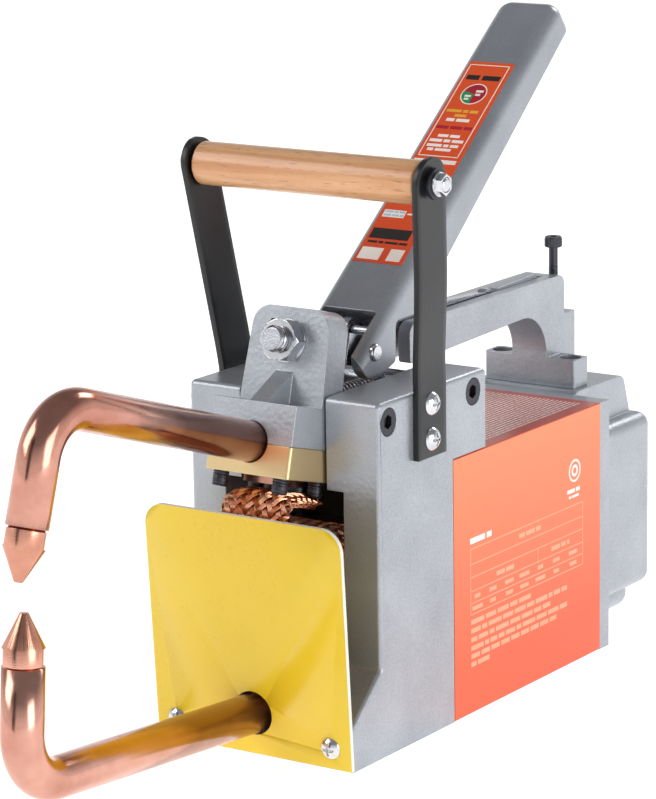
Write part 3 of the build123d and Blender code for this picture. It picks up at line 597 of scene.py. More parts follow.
def refined(node: str, finish: Finish, edge: float = 0.3, angle: float = 33.0) -> bpy.types.Object:
    """Copy a CAD node, merge its triangles, soften its edges and shade it smoothly.

    Args:
        node: the CAD node.
        finish: its finish.
        edge: the width of the softened edges, in millimetres; none at zero.
        angle: edges sharper than this, in degrees, are softened or kept sharp.

    Returns:
        The new piece, which isn't handed over yet.
    """
    mesh = frame["nodes"][node].data.copy()
    mesh.materials.clear()
    work = bmesh.new()
    work.from_mesh(mesh)
    bmesh.ops.remove_doubles(work, verts=work.verts, dist=3e-6)
    if edge:
        bmesh.ops.dissolve_limit(work, angle_limit=radians(1.0), verts=work.verts, edges=work.edges)
    work.to_mesh(mesh)
    work.free()
    piece = bpy.data.objects.new(node + "_skin", mesh)
    bpy.context.scene.collection.objects.link(piece)
    mesh.materials.append(finish.get())
    mesh.shade_smooth()
    if edge:
        bevel = piece.modifiers.new("soft edges", "BEVEL")
        bevel.width = edge * MM
        bevel.segments = 2
        bevel.limit_method = "ANGLE"
        bevel.angle_limit = radians(angle)
        bevel.use_clamp_overlap = False
        bevel.miter_outer = "MITER_ARC"
        plain_mesh(piece)
    piece.data.set_sharp_from_angle(angle=radians(angle + 3))
    if edge:
        level = piece.modifiers.new("flat faces stay flat", "WEIGHTED_NORMAL")
        level.keep_sharp = True
        plain_mesh(piece)
    return piece


def keep(node: str, finish: Finish) -> None:
    """Give a CAD node that stays as it is a better finish.

    Args:
        node: the CAD node.
        finish: its finish.
    """
    mesh = frame["nodes"][node].data
    mesh.materials.clear()
    mesh.materials.append(finish.get())


def printed(name: str, place: Matrix, rects: list[Rect], height: float, finish: Finish) -> bpy.types.Object:
    """Lay thin printed bars on a label.

    Args:
        name: the piece's name.
        place: the label's frame; bars lie in its X and Y, and its Z points off the label.
        rects: low and high corners of each bar, in millimetres.
        height: how far the ink stands off, in millimetres.
        finish: the ink.

    Returns:
        The printed bars as one piece.
    """
    points, faces = [], []
    for x0, y0, x1, y1 in rects:
        base = len(points)
        for z in (INK_FOOT, height):
            for x, y in ((x0, y0), (x1, y0), (x1, y1), (x0, y1)):
                points.append(place @ Vector((x * MM, y * MM, z * MM)))
        faces += [(base + 4, base + 5, base + 6, base + 7), (base + 3, base + 2, base + 1, base)]
        for i in range(4):
            j = (i + 1) % 4
            faces.append((base + i, base + j, base + 4 + j, base + 4 + i))
    return new_piece(name, points, faces, [finish])


def sector(name: str, place: Matrix, centre: tuple[float, float], radii: tuple[float, float],
           span: tuple[float, float], height: float, finish: Finish) -> bpy.types.Object:
    """Lay a thin printed ring sector on a label.

    Args:
        name: the piece's name.
        place: the label's frame, as for printed().
        centre: the ring's centre, in millimetres.
        radii: inner and outer radius, in millimetres.
        span: first and last angle, in degrees.
        height: how far the ink stands off, in millimetres.
        finish: the ink.

    Returns:
        The sector as one piece.
    """
    steps = 48
    points, faces = [], []
    for i in range(steps + 1):
        a = radians(span[0] + (span[1] - span[0]) * i / steps)
        for r in radii:
            for z in (INK_FOOT, height):
                spot = (centre[0] + r * cos(a), centre[1] + r * sin(a), z)
                points.append(place @ Vector([c * MM for c in spot]))
    for i in range(steps):
        a, b = 4 * i, 4 * (i + 1)
        faces += [(a + 1, a + 3, b + 3, b + 1), (a, b, b + 2, a + 2),
                  (a, a + 1, b + 1, b), (a + 2, b + 2, b + 3, a + 3)]
    faces += [(0, 2, 3, 1), (4 * steps, 4 * steps + 1, 4 * steps + 3, 4 * steps + 2)]
    return new_piece(name, points, faces, [finish])


def words(x0: float, x1: float, y: float, tall: float, seed: int) -> list[Rect]:
    """Break a line of small print into bars of uneven length.

    Args:
        x0: start of the line, in millimetres.
        x1: end of the line.
        y: the line's middle.
        tall: the bars' height.
        seed: picks the pattern of lengths.

    Returns:
        One rectangle for each bar.
    """
    bars, x, turn = [], x0, seed
    while x < x1 - tall:
        turn = (turn * 7 + 3) % 11
        long = min(tall * (1.6 + 0.35 * turn), x1 - x)
        bars.append((x, y - tall / 2, x + long, y + tall / 2))
        x += long + tall * 0.55
    return bars


def grown(name: str, tree: bpy.types.NodeTree, values: dict[str, object], place: Matrix,
          path: list[Point] | None = None) -> bpy.types.Object:
    """Grow a piece from a geometry tree and make it a plain mesh.

    Args:
        name: the piece's name.
        tree: the geometry tree.
        values: the tree's inputs by name.
        place: where the piece goes.
        path: points that the piece follows, if it follows any.

    Returns:
        The finished piece, with its place in its mesh.
    """
    piece = new_piece(name, path or [(0, 0, 0)], [], [])
    if path:
        piece.data.clear_geometry()
        piece.data.from_pydata(path, [(i, i + 1) for i in range(len(path) - 1)], [])
    rule = piece.modifiers.new("rule", "NODES")
    rule.node_group = tree
    for socket in tree.interface.items_tree:
        if socket.item_type == "SOCKET" and socket.in_out == "INPUT" and socket.name in values:
            rule[socket.identifier] = values[socket.name]
    plain_mesh(piece)
    piece.data.transform(place)
    piece.data.shade_smooth()
    piece.data.set_sharp_from_angle(angle=radians(50))
    return piece


def thread_tree() -> bpy.types.NodeTree:
    """Write the geometry tree of a screw thread along Z.

    Returns:
        A tree with inputs for radius, pitch, length, tooth and finish.
    """
    tree = bpy.data.node_groups.new("screw thread", "GeometryNodeTree")
    nodes, links = tree.nodes, tree.links
    for label, start in (("Radius", 0.005), ("Pitch", 0.0015), ("Length", 0.01), ("Tooth", 0.0006)):
        socket = tree.interface.new_socket(label, in_out="INPUT", socket_type="NodeSocketFloat")
        socket.default_value = start
    tree.interface.new_socket("Finish", in_out="INPUT", socket_type="NodeSocketMaterial")
    tree.interface.new_socket("Geometry", in_out="OUTPUT", socket_type="NodeSocketGeometry")
    source = nodes.new("NodeGroupInput")
    source.label, source.location = "Sizes of the thread", (-800, 0)
    turns = nodes.new("ShaderNodeMath")
    turns.label, turns.location = "Turns in the length", (-600, 160)
    turns.operation = "DIVIDE"
    helix = nodes.new("GeometryNodeCurveSpiral")
    helix.label, helix.location = "Path of the thread", (-400, 100)
    helix.inputs["Resolution"].default_value = 28
    tooth = nodes.new("GeometryNodeCurvePrimitiveCircle")
    tooth.label, tooth.location = "Tooth of the thread", (-400, -200)
    tooth.inputs["Resolution"].default_value = 4
    sweep = nodes.new("GeometryNodeCurveToMesh")
    sweep.label, sweep.location = "Tooth along the path", (-160, 0)
    sweep.inputs["Fill Caps"].default_value = True
    real = nodes.new("GeometryNodeRealizeInstances")
    real.label, real.location = "Real mesh", (40, 0)
    paint = nodes.new("GeometryNodeSetMaterial")
    paint.label, paint.location = "Finish of the thread", (240, 0)
    out = nodes.new("NodeGroupOutput")
    out.label, out.location = "Thread", (440, 0)
    links.new(source.outputs["Length"], turns.inputs[0])
    links.new(source.outputs["Pitch"], turns.inputs[1])
    links.new(turns.outputs[0], helix.inputs["Rotations"])
    links.new(source.outputs["Radius"], helix.inputs["Start Radius"])
    links.new(source.outputs["Radius"], helix.inputs["End Radius"])
    links.new(source.outputs["Length"], helix.inputs["Height"])
    links.new(source.outputs["Tooth"], tooth.inputs["Radius"])
    links.new(helix.outputs["Curve"], sweep.inputs["Curve"])
    links.new(tooth.outputs["Curve"], sweep.inputs["Profile Curve"])
    links.new(sweep.outputs["Mesh"], real.inputs["Geometry"])
    links.new(real.outputs["Geometry"], paint.inputs["Geometry"])
    links.new(source.outputs["Finish"], paint.inputs["Material"])
    links.new(paint.outputs["Geometry"], out.inputs["Geometry"])
    return tree


def knurl_tree() -> bpy.types.NodeTree:
    """Write the geometry tree of the fine ribs round a cap screw's head.

    Returns:
        A tree with inputs for radius, height, ribs, rib width and finish.
    """
    tree = bpy.data.node_groups.new("knurled head", "GeometryNodeTree")
    nodes, links = tree.nodes, tree.links
    for label, start in (("Radius", 0.0036), ("Height", 0.0036), ("Rib", 0.00045)):
        socket = tree.interface.new_socket(label, in_out="INPUT", socket_type="NodeSocketFloat")
        socket.default_value = start
    count = tree.interface.new_socket("Ribs", in_out="INPUT", socket_type="NodeSocketInt")
    count.default_value = 30
    tree.interface.new_socket("Finish", in_out="INPUT", socket_type="NodeSocketMaterial")
    tree.interface.new_socket("Geometry", in_out="OUTPUT", socket_type="NodeSocketGeometry")
    source = nodes.new("NodeGroupInput")
    source.label, source.location = "Sizes of the knurl", (-800, 0)
    ring = nodes.new("GeometryNodeCurvePrimitiveCircle")
    ring.label, ring.location = "Round the head", (-560, 160)
    rib = nodes.new("GeometryNodeMeshCylinder")
    rib.label, rib.location = "One rib", (-560, -160)
    rib.inputs["Vertices"].default_value = 4
    spots = nodes.new("GeometryNodeInstanceOnPoints")
    spots.label, spots.location = "A rib at each point", (-320, 0)
    real = nodes.new("GeometryNodeRealizeInstances")
    real.label, real.location = "Real mesh", (-100, 0)
    paint = nodes.new("GeometryNodeSetMaterial")
    paint.label, paint.location = "Finish of the knurl", (100, 0)
    out = nodes.new("NodeGroupOutput")
    out.label, out.location = "Knurl", (300, 0)
    links.new(source.outputs["Radius"], ring.inputs["Radius"])
    links.new(source.outputs["Ribs"], ring.inputs["Resolution"])
    links.new(source.outputs["Rib"], rib.inputs["Radius"])
    links.new(source.outputs["Height"], rib.inputs["Depth"])
    links.new(ring.outputs["Curve"], spots.inputs["Points"])
    links.new(rib.outputs["Mesh"], spots.inputs["Instance"])
    links.new(spots.outputs["Instances"], real.inputs["Geometry"])
    links.new(real.outputs["Geometry"], paint.inputs["Geometry"])
    links.new(source.outputs["Finish"], paint.inputs["Material"])
    links.new(paint.outputs["Geometry"], out.inputs["Geometry"])
    return tree


def braid_tree() -> bpy.types.NodeTree:
    """Write the geometry tree of a flat woven braid along a path.

    Returns:
        A tree whose inputs are the path, the braid's sizes, its counts and its finish.
    """
    tree = bpy.data.node_groups.new("woven braid", "GeometryNodeTree")
    nodes, links = tree.nodes, tree.links
    tree.interface.new_socket("Path", in_out="INPUT", socket_type="NodeSocketGeometry")
    for label, start in (("Half Width", 0.0165), ("Half Thickness", 0.0024), ("Weave", 0.0008), ("Turns", 0.9),
                         ("Wire Radius", 0.0005), ("Wire Gap", 0.0008)):
        socket = tree.interface.new_socket(label, in_out="INPUT", socket_type="NodeSocketFloat")
        socket.default_value = start
    for label, start in (("Carriers", 12), ("Wires", 6), ("Samples", 110)):
        socket = tree.interface.new_socket(label, in_out="INPUT", socket_type="NodeSocketInt")
        socket.default_value = start
    tree.interface.new_socket("Finish", in_out="INPUT", socket_type="NodeSocketMaterial")
    tree.interface.new_socket("Geometry", in_out="OUTPUT", socket_type="NodeSocketGeometry")

    wires = nodes.new("NodeFrame")
    wires.label = "One line of points for each wire"
    where = nodes.new("NodeFrame")
    where.label = "Which wire and how far along it"
    weave = nodes.new("NodeFrame")
    weave.label = "Over and under weave"
    source = nodes.new("NodeGroupInput")
    source.label, source.location = "Path and sizes", (-2200, 0)
    path = nodes.new("GeometryNodeMeshToCurve")
    path.label, path.location = "Path as a curve", (-1900, 500)
    smooth = nodes.new("GeometryNodeCurveSplineType")
    smooth.label, smooth.location = "Smooth path", (-1700, 500)
    smooth.spline_type = "CATMULL_ROM"
    even = nodes.new("GeometryNodeResampleCurve")
    even.label, even.location = "Even path", (-1500, 500)
    even.inputs["Count"].default_value = 96

    total = nodes.new("ShaderNodeMath")
    total.label, total.location, total.parent = "Wires in both directions", (-1900, 200), wires
    total.operation = "MULTIPLY"
    double = nodes.new("ShaderNodeMath")
    double.label, double.location, double.parent = "Carriers both ways", (-2050, 200), wires
    double.operation = "MULTIPLY"
    double.inputs[1].default_value = 2.0
    starts = nodes.new("GeometryNodePoints")
    starts.label, starts.location, starts.parent = "A point for each wire", (-1700, 200), wires
    line = nodes.new("GeometryNodeMeshLine")
    line.label, line.location, line.parent = "One wire's points", (-1700, 0), wires
    spread = nodes.new("GeometryNodeInstanceOnPoints")
    spread.label, spread.location, spread.parent = "A line at each point", (-1500, 150), wires
    real = nodes.new("GeometryNodeRealizeInstances")
    real.label, real.location, real.parent = "Real lines", (-1300, 150), wires

    index = nodes.new("GeometryNodeInputIndex")
    index.label, index.location, index.parent = "Point number", (-1900, -300), where
    over = nodes.new("ShaderNodeMath")
    over.label, over.location, over.parent = "Point number over points a wire", (-1700, -260), where
    over.operation = "DIVIDE"
    wire = nodes.new("ShaderNodeMath")
    wire.label, wire.location, wire.parent = "Wire number", (-1540, -260), where
    wire.operation = "FLOOR"
    rest = nodes.new("ShaderNodeMath")
    rest.label, rest.location, rest.parent = "Point along the wire", (-1540, -420), where
    rest.operation = "MODULO"
    last = nodes.new("ShaderNodeMath")
    last.label, last.location, last.parent = "Last point", (-1700, -520), where
    last.operation = "SUBTRACT"
    last.inputs[1].default_value = 1.0
    along = nodes.new("ShaderNodeMath")
    along.label, along.location, along.parent = "Share of the length", (-1380, -420), where
    along.operation = "DIVIDE"
    per = nodes.new("ShaderNodeMath")
    per.label, per.location, per.parent = "Wire number over wires a carrier", (-1380, -260), where
    per.operation = "DIVIDE"
    carrier = nodes.new("ShaderNodeMath")
    carrier.label, carrier.location, carrier.parent = "Carrier number", (-1220, -260), where
    carrier.operation = "FLOOR"
    inside = nodes.new("ShaderNodeMath")
    inside.label, inside.location, inside.parent = "Wire within its carrier", (-1220, -100), where
    inside.operation = "MODULO"
    parity = nodes.new("ShaderNodeMath")
    parity.label, parity.location, parity.parent = "Left or right laid", (-1060, -260), where
    parity.operation = "MODULO"
    parity.inputs[1].default_value = 2.0
    sign = nodes.new("ShaderNodeMath")
    sign.label, sign.location, sign.parent = "Direction of the lay", (-900, -260), where
    sign.operation = "MULTIPLY_ADD"
    sign.inputs[1].default_value = -2.0
    sign.inputs[2].default_value = 1.0
    half = nodes.new("ShaderNodeMath")
    half.label, half.location, half.parent = "Carrier number in its direction", (-1060, -420), where
    half.operation = "MULTIPLY"
    half.inputs[1].default_value = 0.5
    pair = nodes.new("ShaderNodeMath")
    pair.label, pair.location, pair.parent = "Whole carrier number", (-900, -420), where
    pair.operation = "FLOOR"
    share = nodes.new("ShaderNodeMath")
    share.label, share.location, share.parent = "Start round the braid", (-740, -420), where
    share.operation = "DIVIDE"

    twist = nodes.new("ShaderNodeMath")
    twist.label, twist.location, twist.parent = "Turns made so far", (-1200, -640), weave
    twist.operation = "MULTIPLY"
    signed = nodes.new("ShaderNodeMath")
    signed.label, signed.location, signed.parent = "Turns in its own direction", (-740, -600), weave
    signed.operation = "MULTIPLY"
    around = nodes.new("ShaderNodeMath")
    around.label, around.location, around.parent = "Place round the braid", (-580, -500), weave
    around.operation = "ADD"
    angle = nodes.new("ShaderNodeMath")
    angle.label, angle.location, angle.parent = "Angle round the braid", (-420, -500), weave
    angle.operation = "MULTIPLY"
    angle.inputs[1].default_value = 2 * pi
    cosine = nodes.new("ShaderNodeMath")
    cosine.label, cosine.location, cosine.parent = "Across the braid", (-260, -420), weave
    cosine.operation = "COSINE"
    ramp = nodes.new("ShaderNodeMath")
    ramp.label, ramp.location, ramp.parent = "Straight diagonals", (-100, -420), weave
    ramp.operation = "ARCSINE"
    unit = nodes.new("ShaderNodeMath")
    unit.label, unit.location, unit.parent = "Edge to edge", (60, -420), weave
    unit.operation = "MULTIPLY"
    unit.inputs[1].default_value = 2 / pi
    wide = nodes.new("ShaderNodeMath")
    wide.label, wide.location, wide.parent = "Distance across", (220, -420), weave
    wide.operation = "MULTIPLY"
    middle = nodes.new("ShaderNodeMath")
    middle.label, middle.location, middle.parent = "Middle wire", (-100, -200), weave
    middle.operation = "MULTIPLY_ADD"
    middle.inputs[1].default_value = -0.5
    middle.inputs[2].default_value = 0.5
    offset = nodes.new("ShaderNodeMath")
    offset.label, offset.location, offset.parent = "Wires beside each other", (60, -200), weave
    offset.operation = "ADD"
    gap = nodes.new("ShaderNodeMath")
    gap.label, gap.location, gap.parent = "Gap between wires", (220, -200), weave
    gap.operation = "MULTIPLY"
    across = nodes.new("ShaderNodeMath")
    across.label, across.location, across.parent = "Wire's place across", (380, -320), weave
    across.operation = "ADD"
    sine = nodes.new("ShaderNodeMath")
    sine.label, sine.location, sine.parent = "Front or back of the braid", (-260, -640), weave
    sine.operation = "SINE"
    steep = nodes.new("ShaderNodeMath")
    steep.label, steep.location, steep.parent = "Flatten the braid", (-100, -640), weave
    steep.operation = "MULTIPLY"
    steep.inputs[1].default_value = 3.5
    side = nodes.new("ShaderNodeMath")
    side.label, side.location, side.parent = "Front or back, flattened", (60, -640), weave
    side.operation = "TANH"
    crossings = nodes.new("ShaderNodeMath")
    crossings.label, crossings.location, crossings.parent = "Crossings so far", (-580, -800), weave
    crossings.operation = "MULTIPLY"
    own = nodes.new("ShaderNodeMath")
    own.label, own.location, own.parent = "Crossings in its own direction", (-580, -960), weave
    own.operation = "MULTIPLY"
    step = nodes.new("ShaderNodeMath")
    step.label, step.location, step.parent = "Each carrier a step later", (-420, -960), weave
    step.operation = "ADD"
    phase = nodes.new("ShaderNodeMath")
    phase.label, phase.location, phase.parent = "Phase of the over-two weave", (-420, -800), weave
    phase.operation = "MULTIPLY_ADD"
    phase.inputs[1].default_value = pi
    phase.inputs[2].default_value = pi / 4
    wave = nodes.new("ShaderNodeMath")
    wave.label, wave.location, wave.parent = "Over and under", (-260, -800), weave
    wave.operation = "COSINE"
    facing = nodes.new("ShaderNodeMath")
    facing.label, facing.location, facing.parent = "Opposite lays alternate", (-100, -800), weave
    facing.operation = "MULTIPLY"
    lift = nodes.new("ShaderNodeMath")
    lift.label, lift.location, lift.parent = "Height of the weave", (60, -800), weave
    lift.operation = "MULTIPLY"
    thick = nodes.new("ShaderNodeMath")
    thick.label, thick.location, thick.parent = "Layer's height with its weave", (220, -720), weave
    thick.operation = "ADD"
    up = nodes.new("ShaderNodeMath")
    up.label, up.location, up.parent = "Wire's height off the path", (380, -640), weave
    up.operation = "MULTIPLY"

    sample = nodes.new("GeometryNodeSampleCurve")
    sample.label, sample.location = "Place on the path", (-300, 400)
    sample.mode = "FACTOR"
    normal = nodes.new("ShaderNodeVectorMath")
    normal.label, normal.location = "Off the braid's face", (-60, 300)
    normal.operation = "CROSS_PRODUCT"
    normal.inputs[1].default_value = (1, 0, 0)
    rise = nodes.new("ShaderNodeVectorMath")
    rise.label, rise.location = "Height along that", (560, 200)
    rise.operation = "SCALE"
    shift = nodes.new("ShaderNodeCombineXYZ")
    shift.label, shift.location = "Shift across", (560, 0)
    one = nodes.new("ShaderNodeVectorMath")
    one.label, one.location = "Path and height", (740, 300)
    one.operation = "ADD"
    two = nodes.new("ShaderNodeVectorMath")
    two.label, two.location = "And across", (900, 200)
    two.operation = "ADD"
    put = nodes.new("GeometryNodeSetPosition")
    put.label, put.location = "Lay the wires", (1080, 150)
    strands = nodes.new("GeometryNodeMeshToCurve")
    strands.label, strands.location = "Wires as curves", (1260, 150)
    section = nodes.new("GeometryNodeCurvePrimitiveCircle")
    section.label, section.location = "Section of a wire", (1260, -60)
    section.inputs["Resolution"].default_value = 4
    sweep = nodes.new("GeometryNodeCurveToMesh")
    sweep.label, sweep.location = "Round wires", (1440, 150)
    sweep.inputs["Fill Caps"].default_value = True
    solid = nodes.new("GeometryNodeRealizeInstances")
    solid.label, solid.location = "Real mesh", (1620, 150)
    paint = nodes.new("GeometryNodeSetMaterial")
    paint.label, paint.location = "Finish of the braid", (1800, 150)
    out = nodes.new("NodeGroupOutput")
    out.label, out.location = "Braid", (1980, 150)

    links.new(source.outputs["Path"], path.inputs["Mesh"])
    links.new(path.outputs["Curve"], smooth.inputs["Curve"])
    links.new(smooth.outputs["Curve"], even.inputs["Curve"])
    links.new(source.outputs["Carriers"], double.inputs[0])
    links.new(double.outputs[0], total.inputs[0])
    links.new(source.outputs["Wires"], total.inputs[1])
    links.new(total.outputs[0], starts.inputs["Count"])
    links.new(source.outputs["Samples"], line.inputs["Count"])
    links.new(starts.outputs["Points"], spread.inputs["Points"])
    links.new(line.outputs["Mesh"], spread.inputs["Instance"])
    links.new(spread.outputs["Instances"], real.inputs["Geometry"])
    links.new(index.outputs["Index"], over.inputs[0])
    links.new(source.outputs["Samples"], over.inputs[1])
    links.new(over.outputs[0], wire.inputs[0])
    links.new(index.outputs["Index"], rest.inputs[0])
    links.new(source.outputs["Samples"], rest.inputs[1])
    links.new(source.outputs["Samples"], last.inputs[0])
    links.new(rest.outputs[0], along.inputs[0])
    links.new(last.outputs[0], along.inputs[1])
    links.new(wire.outputs[0], per.inputs[0])
    links.new(source.outputs["Wires"], per.inputs[1])
    links.new(per.outputs[0], carrier.inputs[0])
    links.new(wire.outputs[0], inside.inputs[0])
    links.new(source.outputs["Wires"], inside.inputs[1])
    links.new(carrier.outputs[0], parity.inputs[0])
    links.new(parity.outputs[0], sign.inputs[0])
    links.new(carrier.outputs[0], half.inputs[0])
    links.new(half.outputs[0], pair.inputs[0])
    links.new(pair.outputs[0], share.inputs[0])
    links.new(source.outputs["Carriers"], share.inputs[1])
    links.new(source.outputs["Turns"], twist.inputs[0])
    links.new(along.outputs[0], twist.inputs[1])
    links.new(twist.outputs[0], signed.inputs[0])
    links.new(sign.outputs[0], signed.inputs[1])
    links.new(share.outputs[0], around.inputs[0])
    links.new(signed.outputs[0], around.inputs[1])
    links.new(around.outputs[0], angle.inputs[0])
    links.new(angle.outputs[0], cosine.inputs[0])
    links.new(cosine.outputs[0], ramp.inputs[0])
    links.new(ramp.outputs[0], unit.inputs[0])
    links.new(unit.outputs[0], wide.inputs[0])
    links.new(source.outputs["Half Width"], wide.inputs[1])
    links.new(source.outputs["Wires"], middle.inputs[0])
    links.new(middle.outputs[0], offset.inputs[0])
    links.new(inside.outputs[0], offset.inputs[1])
    links.new(offset.outputs[0], gap.inputs[0])
    links.new(source.outputs["Wire Gap"], gap.inputs[1])
    links.new(wide.outputs[0], across.inputs[0])
    links.new(gap.outputs[0], across.inputs[1])
    links.new(angle.outputs[0], sine.inputs[0])
    links.new(sine.outputs[0], steep.inputs[0])
    links.new(steep.outputs[0], side.inputs[0])
    links.new(source.outputs["Carriers"], crossings.inputs[0])
    links.new(twist.outputs[0], crossings.inputs[1])
    links.new(crossings.outputs[0], own.inputs[0])
    links.new(sign.outputs[0], own.inputs[1])
    links.new(own.outputs[0], step.inputs[0])
    links.new(pair.outputs[0], step.inputs[1])
    links.new(step.outputs[0], phase.inputs[0])
    links.new(phase.outputs[0], wave.inputs[0])
    links.new(wave.outputs[0], facing.inputs[0])
    links.new(sign.outputs[0], facing.inputs[1])
    links.new(facing.outputs[0], lift.inputs[0])
    links.new(source.outputs["Weave"], lift.inputs[1])
    links.new(lift.outputs[0], thick.inputs[0])
    links.new(source.outputs["Half Thickness"], thick.inputs[1])
    links.new(thick.outputs[0], up.inputs[0])
    links.new(side.outputs[0], up.inputs[1])
    links.new(even.outputs["Curve"], sample.inputs["Curves"])
    links.new(along.outputs[0], sample.inputs["Factor"])
    links.new(sample.outputs["Tangent"], normal.inputs[0])
    links.new(normal.outputs["Vector"], rise.inputs[0])
    links.new(up.outputs[0], rise.inputs["Scale"])
    links.new(across.outputs[0], shift.inputs["X"])
    links.new(sample.outputs["Position"], one.inputs[0])
    links.new(rise.outputs["Vector"], one.inputs[1])
    links.new(one.outputs["Vector"], two.inputs[0])
    links.new(shift.outputs["Vector"], two.inputs[1])
    links.new(real.outputs["Geometry"], put.inputs["Geometry"])
    links.new(two.outputs["Vector"], put.inputs["Position"])
    links.new(put.outputs["Geometry"], strands.inputs["Mesh"])
    links.new(strands.outputs["Curve"], sweep.inputs["Curve"])
    links.new(section.outputs["Curve"], sweep.inputs["Profile Curve"])
    links.new(source.outputs["Wire Radius"], section.inputs["Radius"])
    links.new(sweep.outputs["Mesh"], solid.inputs["Geometry"])
    links.new(solid.outputs["Geometry"], paint.inputs["Geometry"])
    links.new(source.outputs["Finish"], paint.inputs["Material"])
    links.new(paint.outputs["Geometry"], out.inputs["Geometry"])
    return tree


# ---- sub-assemblies ----------------------------------------------------------------------------
def joint_place(name: str) -> Vector:
    """Return a joint's place in the frame, in metres."""
    return Vector(next(j["pos_m"] for j in frame["joints"] if j["name"] == name))


def turned(at: Vector, angle: float) -> Matrix:
    """Return a frame at a point, turned about X by an angle in degrees."""
    return Matrix.Translation(at) @ Matrix.Rotation(radians(angle), 4, "X")


@dataclass
class Skins:
    """CAD pieces whose shape stays, given soft edges, smooth shading and a finish."""

    label: str
    finish: Finish
    nodes: tuple[str, ...]
    edge: float = 0.3
    angle: float = 33.0

    def build(self) -> list[str]:
        """Build the pieces.

        Returns:
            Their names.
        """
        made = []
        for node in self.nodes:
            piece = refined(node, self.finish, self.edge, self.angle)
            made.append(hand_over(piece, body_of_node(node), slot_of_node(node), node))
        return made


@dataclass
class HiddenParts:
    """CAD pieces that keep their mesh and get a finish: hidden ones, pins, lugs and label films."""

    dressed: dict[str, Finish] = field(default_factory=lambda: {
        "core_laminations": Finish.CORE, "primary_coil": Finish.WINDING, "coil_bobbin": Finish.MOULDED,
        "secondary_loop": Finish.COPPER, "micro_switch": Finish.MOULDED, "side_labels": Finish.SIDE_FILM,
        "top_label": Finish.TOP_FILM, "lever_label": Finish.LEVER_FILM, "lower_clamp": Finish.BRASS,
        "link_pin": Finish.STEEL, "upper_braid_lug": Finish.COPPER, "lower_braid_lug": Finish.COPPER})

    def build(self) -> list[str]:
        """Dress the pieces.

        Returns:
            The CAD nodes' names.
        """
        for node, finish in self.dressed.items():
            keep(node, finish)
        return list(self.dressed)


@dataclass
class GuardPlate:
    """The yellow guard with its white cut edge."""

    edge: float = 0.0

    def build(self) -> list[str]:
        """Build the plate, yellow on its two faces only.

        Returns:
            The piece's name.
        """
        piece = refined("guard_plate", Finish.GUARD_EDGE, self.edge)
        piece.data.materials.append(Finish.GUARD.get())
        front = Matrix.Rotation(radians(PLATE_TILT), 3, "X") @ Vector((0, 1, 0))
        for face in piece.data.polygons:
            if abs(face.normal.dot(front)) > 0.995:
                face.material_index = 1
        return [hand_over(piece, "body", "yellow_guard", "guard_plate")]


@dataclass
class SidePrint:
    """Faint rating table, small print and a round mark on the right-hand label, and its twin."""

    left: float = 65.8
    right: float = 156.2
    rows: tuple[float, ...] = (69.3, 62.9, 57.4, 51.6, 46.5, 41.9)
    line: float = 0.45
    column: float = 119.0
    cells: tuple[float, ...] = (71.0, 83.0, 96.0, 108.0, 121.0, 134.0, 148.0)
    small_print: tuple[tuple[float, float], ...] = (
        (38.6, 115.0), (34.9, 143.5), (31.2, 129.0), (27.6, 146.0), (24.2, 134.0), (20.8, 80.0))
    mark: tuple[float, float] = (149.4, 84.2)
    twin: float = 222.4
    ink: float = 0.03

    def bars(self) -> list[Rect]:
        """Lay out the faint table and the small print.

        Returns:
            One rectangle for each bar, in millimetres.
        """
        half = self.line / 2
        rects = [(self.left, z - half, self.right, z + half) for z in self.rows]
        rects += [(y - half, self.rows[-1], y + half, self.rows[0]) for y in (self.left, self.right)]
        rects.append((self.column - half, self.rows[3], self.column + half, self.rows[2]))
        for row, z in ((0, 49.0), (1, 44.2)):
            for i, y in enumerate(self.cells):
                wide = 2.2 + ((i * 5 + row * 3) % 4) * 0.6
                rects.append((y - wide, z - 0.85, y + wide, z + 0.85))
        rects += words(104.0, 122.0, 66.0, 1.9, 3)
        rects += words(86.0, 100.0, 54.5, 1.9, 5) + words(130.0, 145.0, 54.5, 1.9, 2)
        for i, (z, end) in enumerate(self.small_print):
            rects += words(66.0, end, z, 2.0, i + 1)
        return rects

    def build(self) -> list[str]:
        """Print both sides.

        Returns:
            The pieces' names.
        """
        made = []
        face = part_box("side_labels")[1].x
        for side, name in ((1, "right"), (-1, "left")):
            turn = Matrix(((0, 0, 1, face), (1, 0, 0, 0), (0, 1, 0, 0), (0, 0, 0, 1)))
            if side < 0:
                turn = Matrix(((0, 0, -1, -face), (-1, 0, 0, self.twin * MM), (0, 1, 0, 0), (0, 0, 0, 1)))
            faint = printed(f"side_print_{name}", turn, self.bars(), self.ink, Finish.FAINT_PRINT)
            bright = words(65.6, 85.0, 72.6, 2.4, 4)
            bright += words(143.2, 155.6, 75.8, 1.7, 2) + words(144.5, 154.5, 73.2, 1.1, 6)
            head = printed(f"side_heading_{name}", turn, bright, self.ink, Finish.WHITE_PRINT)
            ring = sector(f"side_ring_{name}", turn, self.mark, (4.0, 4.9), (0, 360), self.ink, Finish.WHITE_PRINT)
            dot = sector(f"side_dot_{name}", turn, self.mark, (1.4, 2.6), (0, 360), self.ink, Finish.WHITE_PRINT)
            made += [hand_over(p, "body", "orange_label") for p in (faint, head, ring, dot)]
        return made


